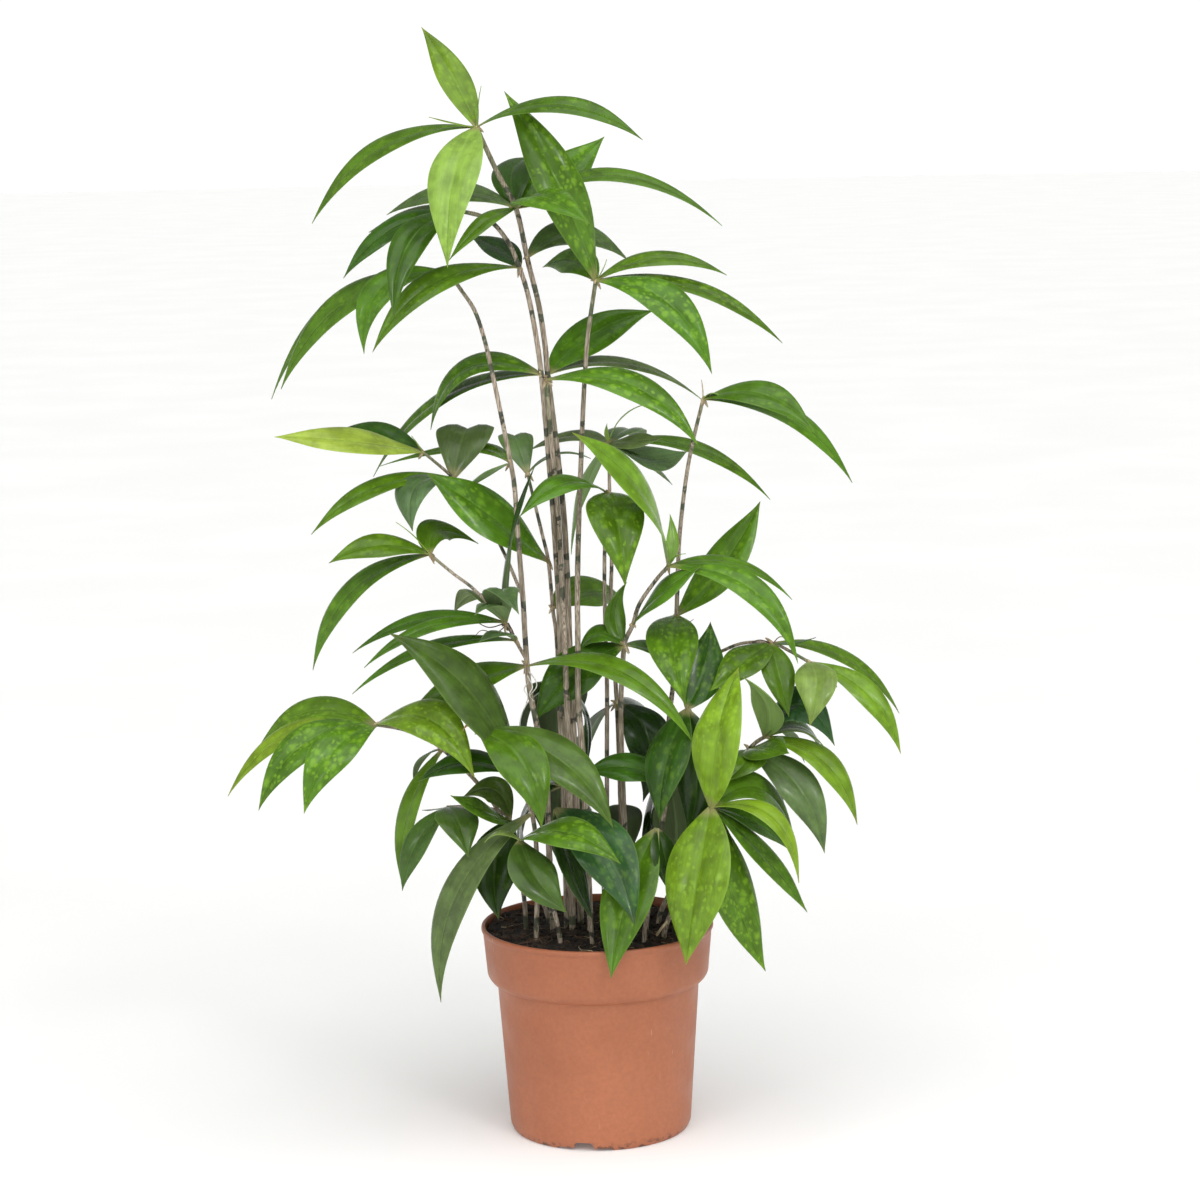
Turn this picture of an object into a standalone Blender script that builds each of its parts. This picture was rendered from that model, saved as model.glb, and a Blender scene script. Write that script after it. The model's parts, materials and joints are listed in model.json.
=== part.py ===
"""Potted gold dust dracaena (Dracaena surculosa) in a round nursery pot.

The plant was read off one photograph. Each row below gives a point of a cane or a leaf as it is seen
there, in centimetres on the upright plane through the pot's axis (x to the right, z up), and how near it
stands to the viewer, also in centimetres. seen() slides that point along its line of sight into place.
Units: metres, +Z up, the viewed side facing -Y. The origin is on the floor, in the middle of the box that
the plant fills, so the pot's axis stands a little to one side of it, at POT_AXIS.
"""

import math

import bmesh
import bpy
from mathutils import Matrix, Vector

CM = 0.01
MM = 0.001

# Where the pot's axis stands in the frame (mm).
POT_AXIS = (21.0, -4.2)

# The eye that the positions were read from (cm).
EYE_SIDE = 0.66
EYE_BACK = 225.0
EYE_HEIGHT = 74.3

# Pot (mm).
POT_HEIGHT = 153.0
POT_FOOT_RADIUS = 64.6
POT_FOOT_INNER_RADIUS = 60.2
POT_FOOT_HEIGHT = 4.5
POT_BODY_RADIUS_LOW = 66.6
POT_GROOVE_RADIUS = 74.0
POT_GROOVE_HEIGHT = 111.0
POT_BEVEL_RADIUS = 78.5
POT_BEVEL_RISE = 1.8
POT_BAND_RADIUS_LOW = 81.0
POT_BAND_RISE = 5.8
POT_BAND_RADIUS_HIGH = 83.8
POT_RIM_RADIUS = 85.0
POT_RIM_DEPTH = 4.6
POT_RIM_SLOPE = 1.4
POT_RIM_BEVEL = 1.0
POT_WALL = 1.6
POT_INNER_GROOVE_RISE = 2.2
POT_INNER_BAND_RISE = 6.8
POT_INNER_BEVEL = 3.0
POT_FLOOR_UNDER = 6.0
POT_FLOOR_TOP = 8.0
POT_SIDES = 32
CUTTER_EXTRA = 2.0
NOTCH_COUNT = 3
NOTCH_TURN = -11.0
NOTCH_HEIGHT = 6.5
NOTCH_WIDTH_LOW = 17.0
NOTCH_WIDTH_HIGH = 13.0
STEP_WIDTH = 40.0
STEP_HEIGHT = 2.0
FOOT_CUT_CENTRE = 63.5
FOOT_CUT_DEPTH = 13.0
DRAIN_COUNT = 6
DRAIN_RADIUS = 4.5
DRAIN_SIDES = 6
DRAIN_CIRCLE = 40.0

# Soil (mm): its top edge, then the rise of its top at these radii, a slope to the left and a slow wave.
SOIL_TOP = 147.6
SOIL_TOP_RADIUS = 80.9
SOIL_RISES = ((62.0, 1.6), (34.0, 2.4), (0.0, 3.0))
SOIL_SLOPE = 0.02
SOIL_WAVE = 1.0
SOIL_GAP = 0.3

# Canes and leaves (cm).
CANE_SIDES = 5
HOLE_SIDES = 6
HOLE_GAP = 0.03
HOLE_EXTRA_Z = 1.0
FOOT_DEPTH_Z = 12.6
STRAIGHT_TOP_Z = 15.45
BLADE_THICKNESS = 0.08
BASE_THICKNESS = 0.15
BASE_WIDTH = 0.3
TIP_WIDTH = 0.12
BRANCH_TAPER = 0.85
CHANNEL = 0.07
TWIST_BASE = 0.4
TWIST_RATE = 1.1
TWIST_MOST = 1.25
BROAD_STATIONS = (0.0, 0.13, 0.33, 0.57, 0.81, 1.0)
STATIONS = (0.0, 0.15, 0.4, 0.72, 1.0)
SLIM_STATIONS = (0.0, 0.2, 0.6, 1.0)
BROAD_LEAF = 4.0
SLIM_LEAF = 2.5

# One entry for each leafy stem.
# foot: where it enters the soil (x, near), with the cane's radii at the foot and at the top
# canes: the foot's cane, then its branches, as (x, z, near)
# whorls: the point (x, z, near) that leaves spring from, then for each leaf
#         (via x, z, near), (tip x, z, near), width, turn of its upper face towards the viewer in degrees,
#         of which the blade makes a part at its base and more towards its tip
STEMS = {
    "cane_tall": {
        "foot": (-1.2, -0.4),
        "radii": (0.24, 0.17),
        "canes": [
            [(-1.25, 20, -0.5), (-1.4, 28, -0.6), (-1.6, 36, -0.7), (-1.65, 40, -0.7), (-1.8, 45, -0.6),
             (-2.2, 50, -0.5), (-2.75, 55.3, -0.4), (-2.9, 57.5, -0.3), (-3.3, 60.5, -0.2),
             (-4.0, 63.6, 0), (-4.75, 67.3, 0), (-5.95, 69.7, 0), (-7.4, 73.0, 0)],
        ],
        "whorls": [
            ((-7.4, 73.0, 0), [
                ((-9.2, 77.0, -2.2), (-11.1, 80.05, -4), 2.2, 35),
                ((-9.0, 70.0, 4.4), (-9.7, 63.2, 7), 3.5, 0),
                ((-1.2, 74.45, 1.5), (4.3, 71.9, 2.5), 2.3, 32),
                ((-13.6, 72.0, -0.6), (-19.2, 66.5, -1), 2.6, 32),
                ((-9.2, 73.35, 0.6), (-10.75, 73.8, 1), 0.6, 10),
                ((-7.25, 74.4, 0), (-7.0, 75.9, 0), 0.45, 0),
            ]),
            ((-4.75, 67.3, 0), [
                ((-1.4, 69.6, -4.2), (1.6, 72.2, -7), 3.3, 41),
                ((2.0, 69.5, -2.6), (9.8, 65.8, -3), 2.2, 26),
                ((-4.7, 70.3, -4.5), (-3.0, 70.7, -8), 2.8, 0),
                ((-9.0, 68.5, -1.5), (-13.9, 67.0, -3), 2.6, 31),
                ((-2.4, 67.9, 5.2), (0.45, 66.1, 8), 3.0, 21),
                ((-7.1, 66.3, 3.2), (-9.6, 63.7, 4.6), 1.4, 24),
            ]),
            ((-4.05, 63.8, 0), [
                ((-0.8, 65.5, -2.4), (3.2, 63.4, -4.2), 2.7, 41),
            ]),
            ((-2.75, 55.5, -0.4), [
                ((0.9, 58.5, -3.5), (4.9, 59.9, -5.6), 3.0, 42),
                ((3.5, 56.0, -4.4), (8.3, 53.4, -6), 2.4, 18),
            ]),
        ],
    },
    "cane_twin": {
        "foot": (-2.2, 0.2),
        "radii": (0.24, 0.15),
        "canes": [
            [(-2.2, 20, 0), (-2.2, 28, -0.4), (-2.25, 36, -0.6), (-2.35, 40, -0.5), (-2.55, 45, -0.2),
             (-2.85, 50, 0.1), (-3.2, 55.3, 0.3), (-3.5, 58, 0.5), (-4.0, 61, 0.6), (-4.6, 63.1, 0.7),
             (-5.4, 65, 0.5), (-6.8, 66.6, 0.2), (-8.8, 67.2, -0.3)],
        ],
        "whorls": [
            ((-8.8, 67.2, -0.3), [
                ((-13.4, 66.1, 0.6), (-17.1, 62.6, 1), 2.2, 36),
                ((-12.0, 67.0, -3.2), (-15.2, 65.8, -5), 2.4, 28),
                ((-12.6, 64.6, 4.4), (-13.6, 59.6, 6.6), 2.4, 28),
            ]),
            ((-4.6, 63.1, 0.7), [
                ((-11.3, 61.8, 3.8), (-15.2, 57.3, 5.8), 2.4, 32),
                ((-6.5, 64.8, -3.6), (-8.1, 65.4, -6), 2.0, 26),
            ]),
            ((-3.2, 55.5, 0.3), [
                ((-8.8, 55.9, -1.6), (-11.2, 51.7, -3.0), 2.9, 36),
                ((-9.8, 54.2, -3.6), (-15.4, 48.4, -7.2), 2.8, 32),
            ]),
        ],
    },
    "cane_inner": {
        "foot": (-1.8, 1.0),
        "radii": (0.24, 0.16),
        "canes": [
            [(-1.75, 20, 0.9), (-1.85, 28, 1.5), (-1.9, 33, 1.75), (-1.95, 37, 1.0), (-2.05, 40, 0.4), (-2.2, 45, 0.3),
             (-2.55, 50, 0.6), (-2.9, 55.1, 0.85)],
        ],
        "whorls": [
            ((-2.9, 55.1, 0.85), [
                ((3.9, 54.25, 2.2), (7.95, 50.1, 3.2), 2.7, 38),
            ]),
        ],
    },
    "cane_left": {
        "foot": (-3.2, 1.9),
        "radii": (0.24, 0.13),
        "canes": [
            [(-3.4, 20, 1.9), (-3.5, 26, 1.8), (-4.1, 30, 1.6), (-4.6, 33, 1.5), (-4.78, 36, 1.5),
             (-4.9, 39.5, 1.5), (-5.15, 44, 1.5), (-5.3, 47.3, 1.4), (-5.6, 49.5, 1.3), (-6.4, 54, 1.2),
             (-7.1, 57.6, 1.1), (-7.8, 60, 1.0), (-8.7, 61.5, 1.0), (-9.7, 62.9, 1.0)],
            [(-4.75, 34.9, 1.5), (-5.5, 36.3, 2.0), (-6.2, 37.6, 2.5), (-8.3, 40, 1.8),
             (-9.9, 41.3, 1.2), (-11.5, 42.7, 0.8)],
            [(-4.9, 39.5, 1.5), (-6.4, 43.2, -0.8), (-8.0, 46, -2.6), (-9.7, 48.2, -3.0),
             (-11.8, 50.1, -2.6)],
        ],
        "whorls": [
            ((-9.7, 62.9, 1.0), [
                ((-14.7, 61.6, 1.8), (-15.8, 57.2, 2.4), 2.6, 42),
                ((-16.6, 61.2, 0.1), (-21.8, 54.8, -0.5), 2.8, 42),
                ((-16.8, 61.5, -1.7), (-22.5, 54.1, -3.5), 2.4, 32),
            ]),
            ((-5.55, 49.2, 1.3), [
                ((-10.2, 50.25, -7.4), (-14.9, 49.15, -9.5), 1.6, 22),
                ((-7.4, 48.3, -1.0), (-9.4, 46.9, -2.2), 1.6, 4),
            ]),
            ((-4.72, 34.4, 1.5), [
                ((1.6, 34.1, 4.0), (7.3, 28.4, 5.2), 2.5, 24),
                ((-9.0, 33.3, 0.6), (-13.4, 31.0, 0), 3.1, 40),
            ]),
            ((-6.2, 37.6, 2.5), [
                ((-5.65, 43.3, 4.2), (-3.8, 49.0, 4.6), 2.2, 41),
                ((-6.3, 40.0, 6.2), (-5.2, 38.2, 9), 2.5, 0),
                ((-8.7, 39.7, -1.2), (-9.9, 38.4, -3), 2.3, -20),
                ((-7.4, 38.9, 5.0), (-8.4, 38.2, 7), 1.8, 0),
                ((-11.5, 38.1, 1.9), (-17.3, 35.6, 1.0), 1.8, 26),
                ((-12.0, 37.3, 3.6), (-16.5, 34.5, 4.2), 1.7, 22),
            ]),
            ((-5.5, 36.3, 2.0), [
                ((-11.5, 35.95, 0.2), (-17.4, 32.6, -1.4), 1.8, 26),
                ((-7.0, 36.8, 4.0), (-8.2, 36.2, 5), 1.7, 5),
            ]),
            ((-11.5, 42.7, 0.8), [
                ((-15.4, 43.4, 1.6), (-18.8, 42.2, 2.2), 2.2, 42),
                ((-16.8, 40.5, 0.2), (-20.2, 34.4, 0), 2.3, 41),
                ((-11.0, 44.4, -1.8), (-8.0, 43.4, -3.4), 2.4, 36),
                ((-12.5, 43.9, 0.9), (-13.9, 45.1, 1), 0.4, 0),
            ]),
            ((-9.7, 48.2, -3.0), [
                ((-15.0, 47.75, -1.6), (-20.0, 44.3, -1.6), 2.0, 32),
                ((-12.4, 47.6, -0.8), (-12.7, 44.4, 0.8), 3.4, 0),
                ((-8.7, 51.6, -4.8), (-8.3, 49.9, -8.4), 4.1, 0),
            ]),
            ((-11.8, 50.1, -2.6), [
                ((-17.0, 51.0, -0.6), (-22.4, 51.4, 0), 2.9, 35),
                ((-15.9, 51.2, -4.4), (-19.3, 50.9, -6), 3.1, 42),
                ((-12.2, 50.7, -2.6), (-12.6, 51.3, -2.6), 0.35, 0),
            ]),
        ],
    },
    "cane_thin": {
        "foot": (-1.7, -1.8),
        "radii": (0.17, 0.11),
        "canes": [
            [(-2.3, 24, -1.7), (-2.5, 35.5, -1.8), (-2.75, 38.5, -1.6), (-3.0, 42, -1.2),
             (-3.4, 44, -1.0), (-3.9, 46.3, -0.8), (-4.35, 48.4, -0.6)],
        ],
        "whorls": [
            ((-3.0, 42.0, -1.2), [
                ((-8.0, 46.1, 0), (-11.6, 48.6, 1.0), 4.0, 55),
            ]),
            ((-2.76, 38.6, -1.6), [
                ((-0.3, 39.8, -4.6), (2.3, 39.2, -8), 3.1, 42),
            ]),
            ((-4.35, 48.4, -0.6), [
                ((-5.2, 51.1, -2.6), (-5.0, 49.9, -5.4), 2.4, 0),
                ((-1.8, 49.8, -1.6), (0.2, 49.4, -1.4), 1.6, -6),
            ]),
            ((-2.33, 25.5, -1.7), [
                ((-4.2, 24.6, -4.0), (-5.4, 18.0, -5.6), 4.2, 50),
                ((-0.9, 24.2, -4.0), (0.4, 17.4, -5.6), 4.2, 50),
                ((-2.6, 25.4, -5.4), (-2.5, 19.0, -8.2), 4.4, 0),
            ]),
            ((-2.46, 33.0, -1.75), [
                ((-4.1, 32.0, -4.4), (-5.0, 25.8, -5.8), 4.2, 45),
                ((-1.3, 32.0, -2.8), (-0.7, 26.4, -3.1), 2.7, 42),
                ((-2.5, 32.8, -5.4), (-2.7, 26.6, -8.0), 4.2, 0),
            ]),
        ],
    },
    "cane_middle": {
        "foot": (-0.5, 1.7),
        "radii": (0.24, 0.15),
        "canes": [
            [(-0.6, 20, 1.8), (-0.85, 28, 1.9), (-1.05, 32, 1.9), (-1.0, 36, 1.6), (-0.95, 40, 1.0),
             (-0.75, 45, 0.2), (-0.55, 48.5, -0.5), (-0.35, 52, -0.7), (-0.1, 55.5, -0.7),
             (0.2, 58.5, -0.6), (0.8, 62.1, -0.4)],
        ],
        "whorls": [
            ((0.8, 62.1, -0.4), [
                ((-1.75, 69.0, 0.9), (-5.4, 75.5, -1.6), 3.4, 62),
                ((-1.0, 63.6, -3.6), (-2.95, 63.1, -6), 2.5, 44),
                ((5.5, 63.6, -1.6), (10.1, 62.3, -2.4), 2.1, 28),
                ((5.7, 60.6, 2.2), (8.95, 55.3, 3.6), 2.9, 41),
                ((8.2, 61.3, -1.2), (14.0, 57.4, -1.6), 2.3, 26),
                ((1.3, 62.8, -0.4), (1.6, 63.6, -0.4), 0.4, 0),
            ]),
        ],
    },
    "cane_slim": {
        "foot": (0.6, -2.3),
        "radii": (0.19, 0.13),
        "canes": [
            [(0.8, 20, -2.2), (0.95, 28, -2.1), (1.05, 33, -2.0), (1.0, 38, -1.8), (1.05, 42.4, -1.4),
             (1.3, 46.9, -0.6)],
        ],
        "whorls": [
            ((1.3, 46.9, -0.6), [
                ((-1.9, 47.6, 2.8), (-5.0, 45.3, 5.2), 2.3, 24),
                ((1.9, 45.3, 3.8), (2.5, 40.1, 6), 3.9, 0),
            ]),
        ],
    },
    "cane_back": {
        "foot": (2.0, -2.8),
        "radii": (0.19, 0.12),
        "canes": [
            [(1.9, 22, -2.8), (1.75, 31, -3.0), (1.45, 38.5, -3.0), (1.55, 42, -2.9), (1.5, 46, -2.6),
             (1.5, 50.5, -2.2)],
        ],
        "whorls": [
            ((1.5, 50.5, -2.2), [
                ((2.6, 52.4, -2.1), (4.6, 53.3, -2.0), 0.7, 0),
                ((7.6, 50.05, -2.8), (13.0, 46.2, -3.2), 1.9, 28),
                ((3.3, 50.6, -0.6), (5.3, 50.75, 0.6), 1.8, 35),
                ((3.1, 51.4, -6.0), (3.8, 50.2, -9), 2.4, 0),
                ((4.8, 49.3, -4.4), (7.1, 49.8, -6.6), 2.6, 42),
                ((4.2, 49.0, -5.6), (6.0, 47.4, -8), 1.7, 10),
                ((-1.5, 51.0, -4.8), (-4.3, 50.0, -6.6), 2.2, 20),
                ((-0.5, 46.4, -5.0), (-1.35, 42.5, -6.2), 3.0, 36),
                ((1.35, 51.2, -2.1), (1.4, 51.9, -2.0), 0.35, 0),
            ]),
            ((1.87, 24.0, -2.85), [
                ((1.9, 23.4, -5.6), (1.95, 18.8, -8.0), 3.0, 0),
            ]),
            ((1.75, 31.5, -3.0), [
                ((3.7, 30.8, -5.6), (4.6, 23.4, -7.4), 4.0, 46),
                ((0.3, 30.4, -7.1), (-1.2, 25.2, -12.0), 3.7, 40),
                ((3.2, 30.4, -1.9), (3.5, 24.2, -1.4), 3.4, 30),
            ]),
        ],
    },
    "cane_forked": {
        "foot": (2.5, -0.5),
        "radii": (0.22, 0.13),
        "canes": [
            [(2.2, 20, -0.5), (2.0, 30, -0.4), (2.2, 34, -0.2), (2.4, 36, 0), (3.0, 37.3, 0.3),
             (3.5, 38.8, 0.7), (4.7, 40.5, 1.3), (5.6, 41.5, 1.6)],
        ],
        "whorls": [
            ((2.35, 35.8, 0), [
                ((-0.6, 34.4, 0.5), (-4.2, 30.4, 1.0), 3.5, 60),
                ((0.6, 36.7, -0.2), (-1.0, 35.3, -0.6), 2.2, 26),
                ((1.7, 37.9, -0.8), (2.6, 40.4, -1.4), 1.6, 40),
                ((4.8, 35.3, -1.6), (8.6, 32.8, -2.6), 2.4, 31),
            ]),
            ((3.0, 37.3, 0.3), [
                ((5.3, 39.7, 1.8), (8.0, 41.5, 3.0), 2.6, 42),
            ]),
            ((5.6, 41.5, 1.6), [
                ((3.5, 47.3, 4.6), (-1.1, 51.3, 6.5), 3.5, 55),
                ((5.95, 43.3, 0.6), (5.8, 45.3, 0), 0.9, 20),
                ((10.2, 41.7, 0.4), (14.5, 38.9, -0.4), 1.6, 24),
                ((12.1, 39.3, 4.0), (14.9, 34.2, 5.4), 2.1, 42),
                ((6.2, 42.2, 1.6), (6.9, 42.4, 1.6), 0.35, 0),
            ]),
        ],
    },
    "cane_right": {
        "foot": (3.8, -2.6),
        "radii": (0.2, 0.13),
        "canes": [
            [(4.3, 20, -2.9), (5.2, 28, -3.5), (5.9, 33.5, -4), (6.15, 37.8, -3.5), (6.3, 41, -3),
             (6.45, 43.5, -2.2), (6.8, 46.5, -1.2), (7.2, 49, -0.2), (7.7, 51.2, 0.5),
             (8.3, 53.5, 1.2)],
            [(5.9, 33.5, -4), (7.5, 34.4, -3.4), (9.3, 35.2, -2.4), (11, 35.8, -1.2), (13, 35.75, 0),
             (14.2, 35.2, 0.3), (15.7, 34.3, 0.6)],
        ],
        "whorls": [
            ((8.3, 53.5, 1.2), [
                ((12.7, 53.75, 3.0), (16.2, 51.0, 4.2), 2.5, 40),
                ((14.0, 52.4, 0.4), (18.9, 47.3, 0), 2.4, 34),
                ((9.2, 53.9, 1.8), (9.8, 53.4, 2.2), 0.5, 0),
                ((8.25, 54.2, 1.2), (8.2, 54.9, 1.2), 0.6, 0),
            ]),
            ((6.15, 37.9, -3.5), [
                ((8.9, 40.7, -4.2), (12.3, 46.1, -5.4), 3.3, 40),
                ((5.9, 35.2, 1.8), (6.7, 31.3, 3.6), 3.6, 0),
            ]),
            ((13.0, 35.75, 0), [
                ((18.8, 34.3, -1.2), (22.2, 30.4, -2), 1.9, 30),
                ((15.0, 35.75, 0.6), (16.2, 36.1, 1), 0.8, 6),
                ((13.5, 33.4, 2.3), (14.2, 30.3, 3.0), 2.4, 0),
                ((10.8, 34.3, 2.4), (8.5, 32.3, 3.8), 2.7, 32),
            ]),
            ((15.7, 34.3, 0.6), [
                ((19.9, 31.9, 2.0), (22.3, 27.4, 2.8), 2.1, 36),
                ((16.2, 32.7, 3.6), (15.7, 29.6, 5), 2.9, 0),
                ((17.0, 33.6, 0.2), (17.7, 32.4, 0), 0.8, 0),
            ]),
            ((5.2, 28.0, -3.5), [
                ((6.6, 26.6, -5.6), (8.0, 20.0, -7.0), 4.2, 55),
                ((4.5, 24.6, -4.2), (3.4, 18.4, -4.6), 4.0, 40),
            ]),
        ],
    },
    "stem_centre_right": {
        "foot": (3.6, 1.0),
        "radii": (0.2, 0.14),
        "canes": [
            [(4.4, 20, 1.5), (5.8, 27, 2.1), (6.8, 31, 2.6)],
        ],
        "whorls": [
            ((6.8, 31.0, 2.6), [
                ((8.2, 34.5, 0.4), (8.6, 37.4, -1), 3.0, 36),
                ((5.4, 27.6, 4.2), (4.7, 22.7, 5.2), 3.6, 0),
                ((7.5, 27.0, 3.4), (6.7, 21.6, 3.6), 3.2, 0),
            ]),
            ((5.5, 25.6, 2.0), [
                ((2.4, 26.8, 1.6), (-0.8, 26.4, 1.4), 2.6, 42),
                ((5.9, 22.0, 1.0), (5.5, 17.6, 0.6), 3.6, 30),
            ]),
        ],
    },
    "stem_front_right": {
        "foot": (4.9, 3.2),
        "radii": (0.2, 0.15),
        "canes": [
            [(6.2, 17.5, 4.4), (7.4, 21, 5.4), (8.45, 23.7, 6.0)],
        ],
        "whorls": [
            ((8.45, 23.7, 6.0), [
                ((9.3, 30.4, 7.2), (10.6, 34.0, 4.0), 4.3, 0),
                ((7.4, 18.5, 8.8), (6.45, 11.9, 9.6), 4.8, 0),
                ((12.4, 23.3, 7.4), (14.8, 17.9, 8.4), 2.2, 14),
                ((11.7, 22.5, 4.4), (14.0, 20.5, 3.4), 2.2, 38),
                ((12.0, 20.3, 6.0), (15.4, 15.7, 6), 2.4, 32),
                ((10.1, 17.0, 6.6), (12.3, 11.3, 7.2), 3.7, 35),
                ((9.9, 20.4, 4.4), (10.5, 17.6, 3.4), 2.0, 36),
                ((11.6, 25.2, 3.6), (14.5, 21.2, 2), 2.9, 42),
            ]),
        ],
    },
    "stem_far_right": {
        "foot": (4.6, -0.8),
        "radii": (0.2, 0.14),
        "canes": [
            [(6.2, 19, -0.5), (9.0, 25, 0.3), (11.3, 28.0, 1.0), (12.5, 28.9, 1.4)],
        ],
        "whorls": [
            ((12.4, 28.85, 1.4), [
                ((12.5, 31.3, 3.7), (10.9, 33.3, 5.4), 2.5, 18),
                ((15.2, 29.2, 0.8), (17.3, 26.8, 0.2), 1.0, 5),
                ((16.4, 27.2, 2.4), (19.1, 22.2, 3.0), 2.6, 26),
                ((15.0, 29.6, -1.2), (16.9, 25.5, -3), 2.6, 31),
                ((14.2, 29.0, -3.0), (15.3, 26.9, -5), 1.6, 10),
                ((14.8, 31.2, 1.8), (17.5, 28.1, 2.2), 3.3, 41),
            ]),
            ((11.3, 28.0, 1.0), [
                ((13.0, 27.9, 4.0), (14.2, 27.6, 5.4), 3.0, 26),
                ((14.6, 25.4, 3.0), (16.7, 20.1, 4.0), 2.9, 41),
                ((13.1, 25.5, 0.6), (13.8, 23.2, 0.2), 1.8, 5),
                ((11.0, 27.0, 3.6), (9.6, 25.6, 4.8), 2.6, 10),
            ]),
            ((6.2, 19.0, -0.5), [
                ((7.4, 21.4, -2.6), (9.0, 17.0, -4.4), 3.4, 45),
            ]),
        ],
    },
    "stem_front_left": {
        "foot": (-4.4, 3.4),
        "radii": (0.2, 0.13),
        "canes": [
            [(-4.3, 19, 3.8), (-4.6, 23.5, 4.0), (-6.0, 26.5, 4.2), (-7.5, 28.9, 4.3),
             (-8.3, 29.7, 4.3)],
        ],
        "whorls": [
            ((-8.3, 29.7, 4.3), [
                ((-5.4, 27.6, 7.2), (-3.9, 22.4, 9.0), 3.5, 31),
                ((-2.3, 27.3, 6.0), (1.3, 22.3, 7.6), 3.6, 38),
                ((-9.0, 30.2, 4.6), (-9.5, 29.7, 4.6), 0.5, 10),
            ]),
            ((-5.6, 25.6, 4.1), [
                ((-9.2, 32.9, 4.4), (-14.6, 37.0, 5.6), 4.3, 52),
            ]),
            ((-6.0, 26.5, 4.2), [
                ((-9.4, 27.4, 2.9), (-12.9, 26.0, 2.2), 2.6, 30),
            ]),
            ((-4.6, 23.5, 4.0), [
                ((-9.9, 18.2, 5.2), (-11.6, 9.4, 5.6), 2.9, 35),
            ]),
        ],
    },
    "stem_far_left": {
        "foot": (-3.6, -0.9),
        "radii": (0.19, 0.12),
        "canes": [
            [(-4.8, 19, -1.0), (-7.5, 24.5, -1.0), (-11, 28.4, -0.6), (-13.5, 29.8, 0),
             (-15.75, 30.3, 0.4)],
        ],
        "whorls": [
            ((-15.75, 30.3, 0.4), [
                ((-19.7, 31.5, -0.8), (-24.4, 28.7, -2), 2.6, 41),
                ((-22.3, 29.6, 1.0), (-26.7, 25.2, 1), 2.2, 28),
                ((-21.3, 28.8, 2.8), (-24.5, 24.1, 3.6), 2.8, 40),
                ((-19.1, 28.3, 3.8), (-21.2, 23.8, 5), 3.0, 40),
                ((-11.8, 30.6, 3.4), (-8.7, 26.2, 5), 3.4, 42),
                ((-18.2, 30.15, 0.8), (-20.6, 30.3, 1), 0.6, 30),
            ]),
            ((-11.0, 28.4, -0.6), [
                ((-13.4, 24.4, -0.2), (-14.2, 18.3, 0.2), 1.8, 38),
                ((-12.6, 27.5, -2.2), (-13.1, 25.8, -3.2), 1.6, 20),
            ]),
        ],
    },
    "stem_low_left": {
        "foot": (-5.2, 0.9),
        "radii": (0.19, 0.12),
        "canes": [
            [(-5.4, 18, 0.9), (-6.2, 23, 1.0), (-8.3, 24.0, 0.9), (-10.8, 24.1, 0.8)],
        ],
        "whorls": [
            ((-10.7, 24.1, 0.8), [
                ((-12.9, 21.7, 1.6), (-14.2, 17.9, 2), 2.1, 36),
                ((-10.0, 23.0, 3.4), (-9.3, 20.3, 5), 3.0, 0),
                ((-11.7, 23.9, -0.4), (-12.6, 23.9, -1.4), 0.7, 0),
            ]),
            ((-6.2, 23.0, 1.0), [
                ((-8.2, 23.8, 3.0), (-10.5, 24.95, 4.4), 2.4, 36),
                ((-7.3, 25.3, 0.6), (-9.6, 24.8, 0.2), 2.3, 40),
                ((-7.4, 19.6, 3.0), (-7.2, 15.6, 4.2), 3.4, 21),
            ]),
        ],
    },
    "stem_front": {
        "foot": (-2.7, 4.6),
        "radii": (0.18, 0.13),
        "canes": [
            [(-3.5, 17.5, 5.2), (-4.9, 20.6, 5.7), (-5.5, 21.5, 5.8)],
        ],
        "whorls": [
            ((-5.5, 21.5, 5.8), [
                ((-4.7, 19.2, 7.8), (-2.2, 16.0, 9), 3.2, 26),
                ((-6.9, 22.1, 5.6), (-8.1, 21.4, 5.2), 1.0, 5),
                ((-1.6, 21.9, 9.4), (1.8, 19.6, 11.4), 3.0, 30),
            ]),
        ],
    },
    "stem_front_centre": {
        "foot": (-0.4, 4.6),
        "radii": (0.18, 0.13),
        "canes": [
            [(-0.9, 18, 4.8), (-2.0, 22.4, 4.6), (-2.9, 23.8, 4.5)],
        ],
        "whorls": [
            ((-2.9, 23.8, 4.5), [
                ((0.5, 20.9, 7.4), (2.75, 14.9, 10.4), 3.9, 41),
                ((-1.8, 19.6, 5.9), (-0.3, 15.4, 6.3), 2.8, 0),
            ]),
        ],
    },
    "stem_short": {
        "foot": (3.4, 4.4),
        "radii": (0.18, 0.14),
        "canes": [
            [(4.0, 18, 5.0), (4.5, 22.2, 5.2)],
        ],
        "whorls": [
            ((4.5, 22.2, 5.2), [
                ((2.3, 17.2, 7.2), (0.95, 11.0, 9.9), 3.6, 20),
                ((4.9, 20.6, 5.9), (5.3, 17.4, 6.2), 2.2, 0),
            ]),
        ],
    },
}


def seen(x, z, near):
    """The point (metres) that lies behind (x, z) as read on the upright plane, this near to the viewer."""
    k = (EYE_BACK - near) / EYE_BACK
    return Vector((EYE_SIDE + (x - EYE_SIDE) * k, -near, EYE_HEIGHT + (z - EYE_HEIGHT) * k)) * CM


def material(name, colour, roughness):
    made = bpy.data.materials.new(name)
    made.use_nodes = True
    shader = made.node_tree.nodes["Principled BSDF"]
    shader.inputs["Base Color"].default_value = (*colour, 1.0)
    shader.inputs["Roughness"].default_value = roughness
    return made


def mesh_object(name, points, faces, collection=None):
    mesh = bpy.data.meshes.new(name)
    mesh.from_pydata([tuple(p) for p in points], [], faces)
    mesh.validate()
    made = bpy.data.objects.new(name, mesh)
    (collection or bpy.context.scene.collection).objects.link(made)
    return made


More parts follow.
